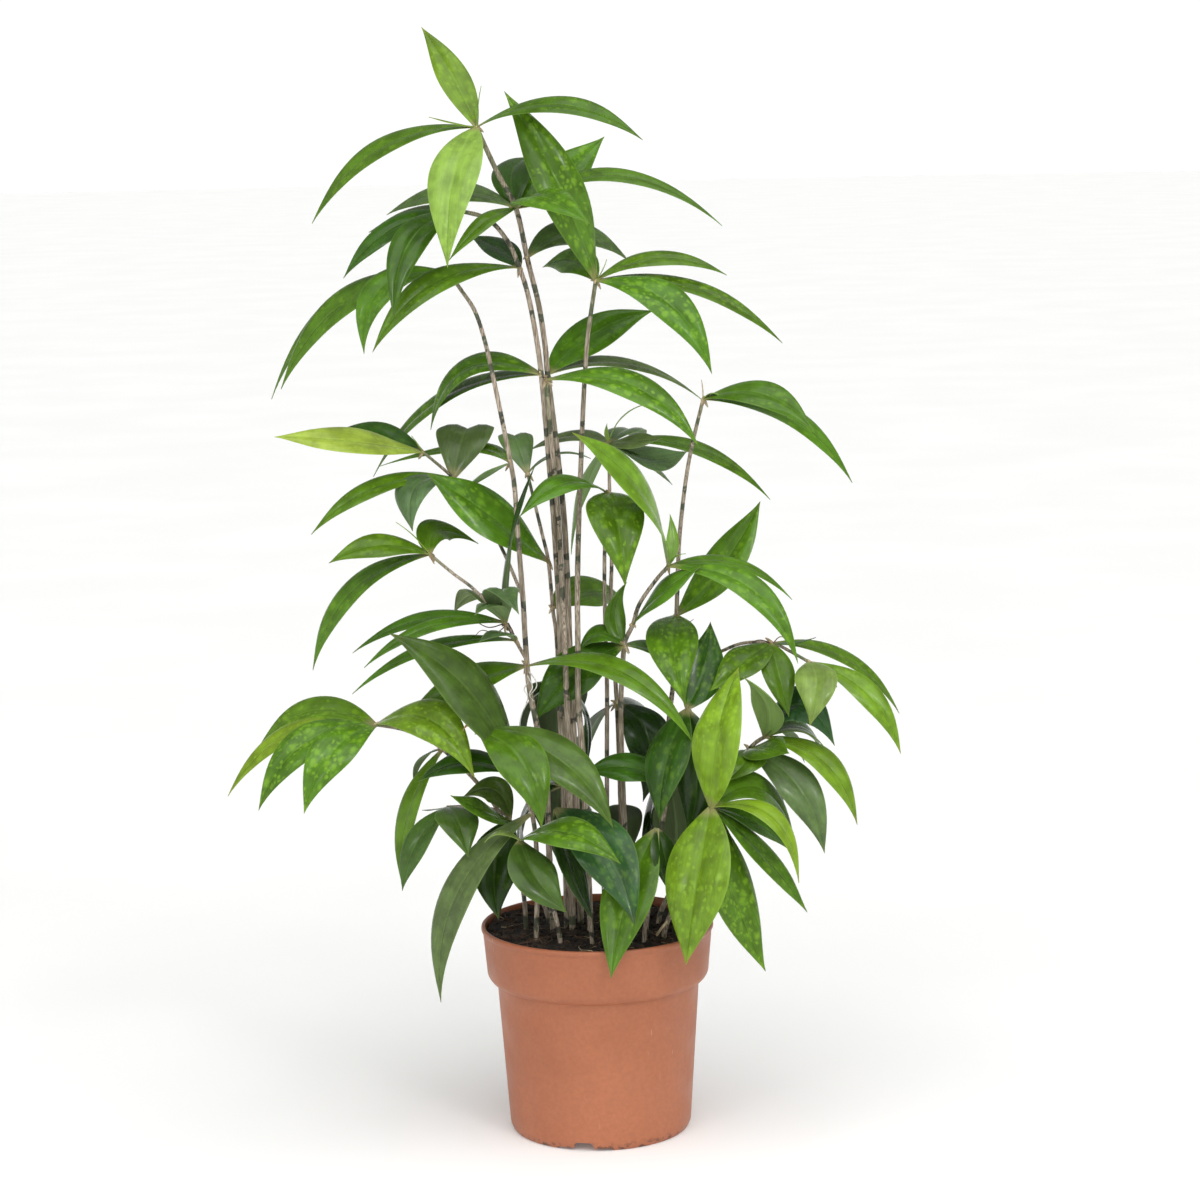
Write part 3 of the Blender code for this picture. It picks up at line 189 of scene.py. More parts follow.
# One entry for each leafy stem:
# - where it enters the soil (x, near), and the cane's radii at its foot and top
# - the foot's cane, then its branches, as points (x, z, near)
# - its whorls: the point (x, z, near) that leaves spring from, then for each leaf (via), (tip), width,
#   turn of its upper face towards the viewer in degrees, look
STEMS = {
    "cane_tall": ((-1.2, -0.4), (0.24, 0.17), [
        [(-1.25, 20, -0.5), (-1.4, 28, -0.6), (-1.6, 36, -0.7), (-1.65, 40, -0.7), (-1.8, 45, -0.6),
         (-2.2, 50, -0.5), (-2.75, 55.3, -0.4), (-2.9, 57.5, -0.3), (-3.3, 60.5, -0.2), (-4, 63.6, 0),
         (-4.75, 67.3, 0), (-5.95, 69.7, 0), (-7.4, 73, 0)],
    ], [
        ((-7.4, 73, 0), [
            ((-9.2, 77, -2.2), (-11.1, 80.05, -4), 2.2, 35, "l1"),
            ((-9, 70, 4.4), (-9.7, 63.2, 7), 3.5, 0, "y1"),
            ((-1.2, 74.45, 1.5), (4.3, 71.9, 2.5), 2.3, 32, "m1"),
            ((-13.6, 72, -0.6), (-19.2, 66.5, -1), 2.6, 32, "m1"),
            ((-9.2, 73.35, 0.6), (-10.75, 73.8, 1), 0.6, 10, "l0"),
            ((-7.25, 74.4, 0), (-7, 75.9, 0), 0.45, 0, "l0"),
        ]),
        ((-4.75, 67.3, 0), [
            ((-1.4, 69.6, -4.2), (1.6, 72.2, -7), 3.3, 41, "m3"),
            ((2, 69.5, -2.6), (9.8, 65.8, -3), 2.2, 26, "m1"),
            ((-4.7, 70.3, -4.5), (-3, 70.7, -8), 2.8, 0, "d0"),
            ((-9, 68.5, -1.5), (-13.9, 67, -3), 2.6, 31, "g1"),
            ((-2.4, 67.9, 5.2), (0.45, 66.1, 8), 3, 21, "m2"),
            ((-7.1, 66.3, 3.2), (-9.6, 63.7, 4.6), 1.4, 24, "m0"),
        ]),
        ((-4.05, 63.8, 0), [
            ((-0.8, 65.5, -2.4), (3.2, 63.4, -4.2), 2.7, 41, "g1"),
        ]),
        ((-2.75, 55.5, -0.4), [
            ((0.9, 58.5, -3.5), (4.9, 59.9, -5.6), 3, 42, "m1"),
            ((3.5, 56, -4.4), (8.3, 53.4, -6), 2.4, 18, "g0"),
        ]),
    ]),
    "cane_twin": ((-2.2, 0.2), (0.24, 0.15), [
        [(-2.2, 20, 0), (-2.2, 28, -0.4), (-2.25, 36, -0.6), (-2.35, 40, -0.5), (-2.55, 45, -0.2),
         (-2.85, 50, 0.1), (-3.2, 55.3, 0.3), (-3.5, 58, 0.5), (-4, 61, 0.6), (-4.6, 63.1, 0.7),
         (-5.4, 65, 0.5), (-6.8, 66.6, 0.2), (-8.8, 67.2, -0.3)],
    ], [
        ((-8.8, 67.2, -0.3), [
            ((-13.4, 66.1, 0.6), (-17.1, 62.6, 1), 2.2, 36, "d0"),
            ((-12, 67, -3.2), (-15.2, 65.8, -5), 2.4, 28, "o0"),
            ((-12.6, 64.6, 4.4), (-13.6, 59.6, 6.6), 2.4, 28, "d0"),
        ]),
        ((-4.6, 63.1, 0.7), [
            ((-11.3, 61.8, 3.8), (-15.2, 57.3, 5.8), 2.4, 32, "m1"),
            ((-6.5, 64.8, -3.6), (-8.1, 65.4, -6), 2, 26, "d0"),
        ]),
        ((-3.2, 55.5, 0.3), [
            ((-8.8, 55.9, -1.6), (-11.2, 51.7, -3), 2.9, 36, "m2"),
            ((-9.8, 54.2, -3.6), (-15.4, 48.4, -7.2), 2.8, 32, "m2"),
        ]),
    ]),
    "cane_inner": ((-1.8, 1), (0.24, 0.16), [
        [(-1.75, 20, 0.9), (-1.85, 28, 1.5), (-1.9, 33, 1.75), (-1.95, 37, 1), (-2.05, 40, 0.4),
         (-2.2, 45, 0.3), (-2.55, 50, 0.6), (-2.9, 55.1, 0.85)],
    ], [
        ((-2.9, 55.1, 0.85), [
            ((3.9, 54.25, 2.2), (7.95, 50.1, 3.2), 2.7, 38, "m3"),
        ]),
    ]),
    "cane_left": ((-3.2, 1.9), (0.24, 0.13), [
        [(-3.4, 20, 1.9), (-3.5, 26, 1.8), (-4.1, 30, 1.6), (-4.6, 33, 1.5), (-4.78, 36, 1.5),
         (-4.9, 39.5, 1.5), (-5.15, 44, 1.5), (-5.3, 47.3, 1.4), (-5.6, 49.5, 1.3), (-6.4, 54, 1.2),
         (-7.1, 57.6, 1.1), (-7.8, 60, 1), (-8.7, 61.5, 1), (-9.7, 62.9, 1)],
        [(-4.75, 34.9, 1.5), (-5.5, 36.3, 2), (-6.2, 37.6, 2.5), (-8.3, 40, 1.8), (-9.9, 41.3, 1.2),
         (-11.5, 42.7, 0.8)],
        [(-4.9, 39.5, 1.5), (-6.4, 43.2, -0.8), (-8, 46, -2.6), (-9.7, 48.2, -3), (-11.8, 50.1, -2.6)],
    ], [
        ((-9.7, 62.9, 1), [
            ((-14.7, 61.6, 1.8), (-15.8, 57.2, 2.4), 2.6, 42, "m1"),
            ((-16.6, 61.2, 0.1), (-21.8, 54.8, -0.5), 2.8, 42, "m1"),
            ((-16.8, 61.5, -1.7), (-22.5, 54.1, -3.5), 2.4, 32, "m1"),
        ]),
        ((-5.55, 49.2, 1.3), [
            ((-10.2, 50.25, -7.4), (-14.9, 49.15, -9.5), 1.6, 22, "m0"),
            ((-7.4, 48.3, -1), (-9.4, 46.9, -2.2), 1.6, 4, "m0"),
        ]),
        ((-4.72, 34.4, 1.5), [
            ((1.6, 34.1, 4), (7.3, 28.4, 5.2), 2.5, 24, "m0"),
            ((-9, 33.3, 0.6), (-13.4, 31, 0), 3.1, 40, "m0"),
        ]),
        ((-6.2, 37.6, 2.5), [
            ((-5.65, 43.3, 4.2), (-3.8, 49, 4.6), 2.2, 41, "k0"),
            ((-6.3, 40, 6.2), (-5.2, 38.2, 9), 2.5, 0, "g0"),
            ((-8.7, 39.7, -1.2), (-9.9, 38.4, -3), 2.3, -20, "g0"),
            ((-7.4, 38.9, 5), (-8.4, 38.2, 7), 1.8, 0, "g0"),
            ((-11.5, 38.1, 1.9), (-17.3, 35.6, 1), 1.8, 26, "d0"),
            ((-12, 37.3, 3.6), (-16.5, 34.5, 4.2), 1.7, 22, "m0"),
        ]),
        ((-5.5, 36.3, 2), [
            ((-11.5, 35.95, 0.2), (-17.4, 32.6, -1.4), 1.8, 26, "m0"),
            ((-7, 36.8, 4), (-8.2, 36.2, 5), 1.7, 5, "g0"),
        ]),
        ((-11.5, 42.7, 0.8), [
            ((-15.4, 43.4, 1.6), (-18.8, 42.2, 2.2), 2.2, 42, "m1"),
            ((-16.8, 40.5, 0.2), (-20.2, 34.4, 0), 2.3, 41, "m1"),
            ((-11, 44.4, -1.8), (-8, 43.4, -3.4), 2.4, 36, "m0"),
            ((-12.5, 43.9, 0.9), (-13.9, 45.1, 1), 0.4, 0, "l0"),
        ]),
        ((-9.7, 48.2, -3), [
            ((-15, 47.75, -1.6), (-20, 44.3, -1.6), 2, 32, "m1"),
            ((-12.4, 47.6, -0.8), (-12.7, 44.4, 0.8), 3.4, 0, "g0"),
            ((-8.7, 51.6, -4.8), (-8.3, 49.9, -8.4), 4.1, 0, "g0"),
        ]),
        ((-11.8, 50.1, -2.6), [
            ((-17, 51, -0.6), (-22.4, 51.4, 0), 2.9, 35, "y1"),
            ((-15.9, 51.2, -4.4), (-19.3, 50.9, -6), 3.1, 42, "d0"),
            ((-12.2, 50.7, -2.6), (-12.6, 51.3, -2.6), 0.35, 0, "l0"),
        ]),
    ]),
    "cane_thin": ((-1.7, -1.8), (0.17, 0.11), [
        [(-2.3, 24, -1.7), (-2.5, 35.5, -1.8), (-2.75, 38.5, -1.6), (-3, 42, -1.2), (-3.4, 44, -1),
         (-3.9, 46.3, -0.8), (-4.35, 48.4, -0.6)],
    ], [
        ((-3, 42, -1.2), [
            ((-8, 46.1, 0), (-11.6, 48.6, 1), 4, 55, "m2"),
        ]),
        ((-2.76, 38.6, -1.6), [
            ((-0.3, 39.8, -4.6), (2.3, 39.2, -8), 3.1, 42, "m1"),
        ]),
        ((-4.35, 48.4, -0.6), [
            ((-5.2, 51.1, -2.6), (-5, 49.9, -5.4), 2.4, 0, "g0"),
            ((-1.8, 49.8, -1.6), (0.2, 49.4, -1.4), 1.6, -6, "g0"),
        ]),
        ((-2.33, 25.5, -1.7), [
            ((-4.2, 24.6, -4), (-5.4, 18, -5.6), 4.2, 50, "k0"),
            ((-0.9, 24.2, -4), (0.4, 17.4, -5.6), 4.2, 50, "k0"),
            ((-2.6, 25.4, -5.4), (-2.5, 19, -8.2), 4.4, 0, "k0"),
        ]),
        ((-2.46, 33, -1.75), [
            ((-4.1, 32, -4.4), (-5, 25.8, -5.8), 4.2, 45, "k0"),
            ((-1.3, 32, -2.8), (-0.7, 26.4, -3.1), 2.7, 42, "k0"),
            ((-2.5, 32.8, -5.4), (-2.7, 26.6, -8), 4.2, 0, "k0"),
        ]),
    ]),
    "cane_middle": ((-0.5, 1.7), (0.24, 0.15), [
        [(-0.6, 20, 1.8), (-0.85, 28, 1.9), (-1.05, 32, 1.9), (-1, 36, 1.6), (-0.95, 40, 1), (-0.75, 45, 0.2),
         (-0.55, 48.5, -0.5), (-0.35, 52, -0.7), (-0.1, 55.5, -0.7), (0.2, 58.5, -0.6), (0.8, 62.1, -0.4)],
    ], [
        ((0.8, 62.1, -0.4), [
            ((-1.75, 69, 0.9), (-5.4, 75.5, -1.6), 3.4, 62, "m3"),
            ((-1, 63.6, -3.6), (-2.95, 63.1, -6), 2.5, 44, "m2"),
            ((5.5, 63.6, -1.6), (10.1, 62.3, -2.4), 2.1, 28, "m1"),
            ((5.7, 60.6, 2.2), (8.95, 55.3, 3.6), 2.9, 41, "m3"),
            ((8.2, 61.3, -1.2), (14, 57.4, -1.6), 2.3, 26, "m2"),
            ((1.3, 62.8, -0.4), (1.6, 63.6, -0.4), 0.4, 0, "l0"),
        ]),
    ]),
    "cane_slim": ((0.6, -2.3), (0.19, 0.13), [
        [(0.8, 20, -2.2), (0.95, 28, -2.1), (1.05, 33, -2), (1, 38, -1.8), (1.05, 42.4, -1.4),
         (1.3, 46.9, -0.6)],
    ], [
        ((1.3, 46.9, -0.6), [
            ((-1.9, 47.6, 2.8), (-5, 45.3, 5.2), 2.3, 24, "m0"),
            ((1.9, 45.3, 3.8), (2.5, 40.1, 6), 3.9, 0, "m3"),
        ]),
    ]),
    "cane_back": ((2, -2.8), (0.19, 0.12), [
        [(1.9, 22, -2.8), (1.75, 31, -3), (1.45, 38.5, -3), (1.55, 42, -2.9), (1.5, 46, -2.6),
         (1.5, 50.5, -2.2)],
    ], [
        ((1.5, 50.5, -2.2), [
            ((2.6, 52.4, -2.1), (4.6, 53.3, -2), 0.7, 0, "l0"),
            ((7.6, 50.05, -2.8), (13, 46.2, -3.2), 1.9, 28, "m1"),
            ((3.3, 50.6, -0.6), (5.3, 50.75, 0.6), 1.8, 35, "g0"),
            ((3.1, 51.4, -6), (3.8, 50.2, -9), 2.4, 0, "g0"),
            ((4.8, 49.3, -4.4), (7.1, 49.8, -6.6), 2.6, 42, "g0"),
            ((4.2, 49, -5.6), (6, 47.4, -8), 1.7, 10, "g0"),
            ((-1.5, 51, -4.8), (-4.3, 50, -6.6), 2.2, 20, "g0"),
            ((-0.5, 46.4, -5), (-1.35, 42.5, -6.2), 3, 36, "m0"),
            ((1.35, 51.2, -2.1), (1.4, 51.9, -2), 0.35, 0, "l0"),
        ]),
        ((1.87, 24, -2.85), [
            ((1.9, 23.4, -5.6), (1.95, 18.8, -8), 3, 0, "k0"),
        ]),
        ((1.75, 31.5, -3), [
            ((3.7, 30.8, -5.6), (4.6, 23.4, -7.4), 4, 46, "k0"),
            ((0.3, 30.4, -7.1), (-1.2, 25.2, -12), 3.7, 40, "k0"),
            ((3.2, 30.4, -1.9), (3.5, 24.2, -1.4), 3.4, 30, "k0"),
        ]),
    ]),
    "cane_forked": ((2.5, -0.5), (0.22, 0.13), [
        [(2.2, 20, -0.5), (2, 30, -0.4), (2.2, 34, -0.2), (2.4, 36, 0), (3, 37.3, 0.3), (3.5, 38.8, 0.7),
         (4.7, 40.5, 1.3), (5.6, 41.5, 1.6)],
    ], [
        ((2.35, 35.8, 0), [
            ((-0.6, 34.4, 0.5), (-4.2, 30.4, 1), 3.5, 60, "d1"),
            ((0.6, 36.7, -0.2), (-1, 35.3, -0.6), 2.2, 26, "m0"),
            ((1.7, 37.9, -0.8), (2.6, 40.4, -1.4), 1.6, 40, "m0"),
            ((4.8, 35.3, -1.6), (8.6, 32.8, -2.6), 2.4, 31, "m0"),
        ]),
        ((3, 37.3, 0.3), [
            ((5.3, 39.7, 1.8), (8, 41.5, 3), 2.6, 42, "m0"),
        ]),
        ((5.6, 41.5, 1.6), [
            ((3.5, 47.3, 4.6), (-1.1, 51.3, 6.5), 3.5, 55, "l1"),
            ((5.95, 43.3, 0.6), (5.8, 45.3, 0), 0.9, 20, "l0"),
            ((10.2, 41.7, 0.4), (14.5, 38.9, -0.4), 1.6, 24, "m0"),
            ((12.1, 39.3, 4), (14.9, 34.2, 5.4), 2.1, 42, "m2"),
            ((6.2, 42.2, 1.6), (6.9, 42.4, 1.6), 0.35, 0, "l0"),
        ]),
    ]),
    "cane_right": ((3.8, -2.6), (0.2, 0.13), [
        [(4.3, 20, -2.9), (5.2, 28, -3.5), (5.9, 33.5, -4), (6.15, 37.8, -3.5), (6.3, 41, -3),
         (6.45, 43.5, -2.2), (6.8, 46.5, -1.2), (7.2, 49, -0.2), (7.7, 51.2, 0.5), (8.3, 53.5, 1.2)],
        [(5.9, 33.5, -4), (7.5, 34.4, -3.4), (9.3, 35.2, -2.4), (11, 35.8, -1.2), (13, 35.75, 0),
         (14.2, 35.2, 0.3), (15.7, 34.3, 0.6)],
    ], [
        ((8.3, 53.5, 1.2), [
            ((12.7, 53.75, 3), (16.2, 51, 4.2), 2.5, 40, "m1"),
            ((14, 52.4, 0.4), (18.9, 47.3, 0), 2.4, 34, "m1"),
            ((9.2, 53.9, 1.8), (9.8, 53.4, 2.2), 0.5, 0, "l0"),
            ((8.25, 54.2, 1.2), (8.2, 54.9, 1.2), 0.6, 0, "t0"),
        ]),
        ((6.15, 37.9, -3.5), [
            ((8.9, 40.7, -4.2), (12.3, 46.1, -5.4), 3.3, 40, "m2"),
            ((5.9, 35.2, 1.8), (6.7, 31.3, 3.6), 3.6, 0, "m3"),
        ]),
        ((13, 35.75, 0), [
            ((18.8, 34.3, -1.2), (22.2, 30.4, -2), 1.9, 30, "m1"),
            ((15, 35.75, 0.6), (16.2, 36.1, 1), 0.8, 6, "d0"),
            ((13.5, 33.4, 2.3), (14.2, 30.3, 3), 2.4, 0, "m0"),
            ((10.8, 34.3, 2.4), (8.5, 32.3, 3.8), 2.7, 32, "m2"),
        ]),
        ((15.7, 34.3, 0.6), [
            ((19.9, 31.9, 2), (22.3, 27.4, 2.8), 2.1, 36, "l1"),
            ((16.2, 32.7, 3.6), (15.7, 29.6, 5), 2.9, 0, "p0"),
            ((17, 33.6, 0.2), (17.7, 32.4, 0), 0.8, 0, "d0"),
        ]),
        ((5.2, 28, -3.5), [
            ((6.6, 26.6, -5.6), (8, 20, -7), 4.2, 55, "k0"),
            ((4.5, 24.6, -4.2), (3.4, 18.4, -4.6), 4, 40, "k0"),
        ]),
    ]),
    "stem_centre_right": ((3.6, 1), (0.2, 0.14), [
        [(4.4, 20, 1.5), (5.8, 27, 2.1), (6.8, 31, 2.6)],
    ], [
        ((6.8, 31, 2.6), [
            ((8.2, 34.5, 0.4), (8.6, 37.4, -1), 3, 36, "d2"),
            ((5.4, 27.6, 4.2), (4.7, 22.7, 5.2), 3.6, 0, "d1"),
            ((7.5, 27, 3.4), (6.7, 21.6, 3.6), 3.2, 0, "k0"),
        ]),
        ((5.5, 25.6, 2), [
            ((2.4, 26.8, 1.6), (-0.8, 26.4, 1.4), 2.6, 42, "d0"),
            ((5.9, 22, 1), (5.5, 17.6, 0.6), 3.6, 30, "k0"),
        ]),
    ]),
    "stem_front_right": ((4.9, 3.2), (0.2, 0.15), [
        [(6.2, 17.5, 4.4), (7.4, 21, 5.4), (8.45, 23.7, 6)],
    ], [
        ((8.45, 23.7, 6), [
            ((9.3, 30.4, 7.2), (10.6, 34, 4), 4.3, 0, "l2"),
            ((7.4, 18.5, 8.8), (6.45, 11.9, 9.6), 4.8, 0, "l2"),
            ((12.4, 23.3, 7.4), (14.8, 17.9, 8.4), 2.2, 14, "l0"),
            ((11.7, 22.5, 4.4), (14, 20.5, 3.4), 2.2, 38, "d0"),
            ((12, 20.3, 6), (15.4, 15.7, 6), 2.4, 32, "m2"),
            ((10.1, 17, 6.6), (12.3, 11.3, 7.2), 3.7, 35, "m3"),
            ((9.9, 20.4, 4.4), (10.5, 17.6, 3.4), 2, 36, "d0"),
            ((11.6, 25.2, 3.6), (14.5, 21.2, 2), 2.9, 42, "m0"),
        ]),
    ]),
    "stem_far_right": ((4.6, -0.8), (0.2, 0.14), [
        [(6.2, 19, -0.5), (9, 25, 0.3), (11.3, 28, 1), (12.5, 28.9, 1.4)],
    ], [
        ((12.4, 28.85, 1.4), [
            ((12.5, 31.3, 3.7), (10.9, 33.3, 5.4), 2.5, 18, "p0"),
            ((15.2, 29.2, 0.8), (17.3, 26.8, 0.2), 1, 5, "l0"),
            ((16.4, 27.2, 2.4), (19.1, 22.2, 3), 2.6, 26, "l0"),
            ((15, 29.6, -1.2), (16.9, 25.5, -3), 2.6, 31, "d0"),
            ((14.2, 29, -3), (15.3, 26.9, -5), 1.6, 10, "d0"),
            ((14.8, 31.2, 1.8), (17.5, 28.1, 2.2), 3.3, 41, "b0"),
        ]),
        ((11.3, 28, 1), [
            ((13, 27.9, 4), (14.2, 27.6, 5.4), 3, 26, "m2"),
            ((14.6, 25.4, 3), (16.7, 20.1, 4), 2.9, 41, "g0"),
            ((13.1, 25.5, 0.6), (13.8, 23.2, 0.2), 1.8, 5, "g0"),
            ((11, 27, 3.6), (9.6, 25.6, 4.8), 2.6, 10, "m1"),
        ]),
        ((6.2, 19, -0.5), [
            ((7.4, 21.4, -2.6), (9, 17, -4.4), 3.4, 45, "k0"),
        ]),
    ]),
    "stem_front_left": ((-4.4, 3.4), (0.2, 0.13), [
        [(-4.3, 19, 3.8), (-4.6, 23.5, 4), (-6, 26.5, 4.2), (-7.5, 28.9, 4.3), (-8.3, 29.7, 4.3)],
    ], [
        ((-8.3, 29.7, 4.3), [
            ((-5.4, 27.6, 7.2), (-3.9, 22.4, 9), 3.5, 31, "m1"),
            ((-2.3, 27.3, 6), (1.3, 22.3, 7.6), 3.6, 38, "o0"),
            ((-9, 30.2, 4.6), (-9.5, 29.7, 4.6), 0.5, 10, "t0"),
        ]),
        ((-5.6, 25.6, 4.1), [
            ((-9.2, 32.9, 4.4), (-14.6, 37, 5.6), 4.3, 52, "o0"),
        ]),
        ((-6, 26.5, 4.2), [
            ((-9.4, 27.4, 2.9), (-12.9, 26, 2.2), 2.6, 30, "d0"),
        ]),
        ((-4.6, 23.5, 4), [
            ((-9.9, 18.2, 5.2), (-11.6, 9.4, 5.6), 2.9, 35, "g0"),
        ]),
    ]),
    "stem_far_left": ((-3.6, -0.9), (0.19, 0.12), [
        [(-4.8, 19, -1), (-7.5, 24.5, -1), (-11, 28.4, -0.6), (-13.5, 29.8, 0), (-15.75, 30.3, 0.4)],
    ], [
        ((-15.75, 30.3, 0.4), [
            ((-19.7, 31.5, -0.8), (-24.4, 28.7, -2), 2.6, 41, "m2"),
            ((-22.3, 29.6, 1), (-26.7, 25.2, 1), 2.2, 28, "l1"),
            ((-21.3, 28.8, 2.8), (-24.5, 24.1, 3.6), 2.8, 40, "m3"),
            ((-19.1, 28.3, 3.8), (-21.2, 23.8, 5), 3, 40, "m3"),
            ((-11.8, 30.6, 3.4), (-8.7, 26.2, 5), 3.4, 42, "l3"),
            ((-18.2, 30.15, 0.8), (-20.6, 30.3, 1), 0.6, 30, "t0"),
        ]),
        ((-11, 28.4, -0.6), [
            ((-13.4, 24.4, -0.2), (-14.2, 18.3, 0.2), 1.8, 38, "m0"),
            ((-12.6, 27.5, -2.2), (-13.1, 25.8, -3.2), 1.6, 20, "d0"),
        ]),
    ]),
    "stem_low_left": ((-5.2, 0.9), (0.19, 0.12), [
        [(-5.4, 18, 0.9), (-6.2, 23, 1), (-8.3, 24, 0.9), (-10.8, 24.1, 0.8)],
    ], [
        ((-10.7, 24.1, 0.8), [
            ((-12.9, 21.7, 1.6), (-14.2, 17.9, 2), 2.1, 36, "o0"),
            ((-10, 23, 3.4), (-9.3, 20.3, 5), 3, 0, "o0"),
            ((-11.7, 23.9, -0.4), (-12.6, 23.9, -1.4), 0.7, 0, "d0"),
        ]),
        ((-6.2, 23, 1), [
            ((-8.2, 23.8, 3), (-10.5, 24.95, 4.4), 2.4, 36, "m1"),
            ((-7.3, 25.3, 0.6), (-9.6, 24.8, 0.2), 2.3, 40, "o0"),
            ((-7.4, 19.6, 3), (-7.2, 15.6, 4.2), 3.4, 21, "k0"),
        ]),
    ]),
    "stem_front": ((-2.7, 4.6), (0.18, 0.13), [
        [(-3.5, 17.5, 5.2), (-4.9, 20.6, 5.7), (-5.5, 21.5, 5.8)],
    ], [
        ((-5.5, 21.5, 5.8), [
            ((-4.7, 19.2, 7.8), (-2.2, 16, 9), 3.2, 26, "o0"),
            ((-6.9, 22.1, 5.6), (-8.1, 21.4, 5.2), 1, 5, "p0"),
            ((-1.6, 21.9, 9.4), (1.8, 19.6, 11.4), 3, 30, "m2"),
        ]),
    ]),
    "stem_front_centre": ((-0.4, 4.6), (0.18, 0.13), [
        [(-0.9, 18, 4.8), (-2, 22.4, 4.6), (-2.9, 23.8, 4.5)],
    ], [
        ((-2.9, 23.8, 4.5), [
            ((0.5, 20.9, 7.4), (2.75, 14.9, 10.4), 3.9, 41, "b1"),
            ((-1.8, 19.6, 5.9), (-0.3, 15.4, 6.3), 2.8, 0, "k0"),
        ]),
    ]),
    "stem_short": ((3.4, 4.4), (0.18, 0.14), [
        [(4, 18, 5), (4.5, 22.2, 5.2)],
    ], [
        ((4.5, 22.2, 5.2), [
            ((2.3, 17.2, 7.2), (0.95, 11, 9.9), 3.6, 20, "m2"),
            ((4.9, 20.6, 5.9), (5.3, 17.4, 6.2), 2.2, 0, "k0"),
        ]),
    ]),
}

random.seed(7)
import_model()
pot_low, pot_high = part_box("pot")
AXIS = Vector(((pot_low[0] + pot_high[0]) / 2, (pot_low[1] + pot_high[1]) / 2, 0))


def seen(x, z, near):
    """The point (metres) that lies behind (x, z) as read on the upright plane, this near to the viewer."""
    k = (EYE_BACK - near) / EYE_BACK
    return AXIS + Vector((EYE_SIDE + (x - EYE_SIDE) * k, -near, EYE_HEIGHT + (z - EYE_HEIGHT) * k)) * CM


class Nodes:
    """A material's node tree, with its shader, and short ways to add nodes."""

    def __init__(self, name, roughness=0.5):
        self.material = bpy.data.materials.new(name)
        self.material.use_nodes = True
        self.tree = self.material.node_tree
        self.shader = self.tree.nodes["Principled BSDF"]
        self.shader.inputs["Roughness"].default_value = roughness

    def add(self, kind, inputs, **settings):
        node = self.tree.nodes.new("ShaderNode" + kind)
        for name, value in settings.items():
            setattr(node, name, value)
        for name, value in inputs.items():
            self.put(node.inputs[name], value)
        return node

    def put(self, socket, value):
        if isinstance(value, bpy.types.NodeSocket):
            self.tree.links.new(value, socket)
        else:
            socket.default_value = value

    def dress(self, name, value):
        self.put(self.shader.inputs[name], value)

    def where(self):
        return self.add("TexCoord", {}).outputs["Object"]

    def math(self, operation, a, b=0.0, c=0.0):
        return self.add("Math", {0: a, 1: b, 2: c}, operation=operation).outputs[0]

    def plus(self, a, b):
        return self.math("ADD", a, b)

    def times(self, a, b):
        return self.math("MULTIPLY", a, b)

    def ramp(self, value, low, high, start=0.0, end=1.0):
        """A smooth step from start to end as value goes from low to high."""
        inputs = {"Value": value, "From Min": low, "From Max": high, "To Min": start, "To Max": end}
        return self.add("MapRange", inputs, interpolation_type="SMOOTHSTEP").outputs[0]

    def mix(self, factor, a, b):
        return self.add("Mix", {0: factor, 6: a, 7: b}, data_type="RGBA").outputs[2]

    def colour_times(self, colour, value):
        return self.add("VectorMath", {0: colour, "Scale": value}, operation="SCALE").outputs[0]

    def read(self, name):
        return self.add("Attribute", {}, attribute_name=name)

    def noise(self, where, scale, detail=2.0, roughness=0.5):
        inputs = {"Vector": where, "Scale": scale, "Detail": detail, "Roughness": roughness}
        return self.add("TexNoise", inputs).outputs["Fac"]

    def bump(self, height, strength, distance):
        inputs = {"Height": height, "Strength": strength, "Distance": distance}
        self.dress("Normal", self.add("Bump", inputs).outputs[0])


def rgb(*values):
    return (*values, 1.0)


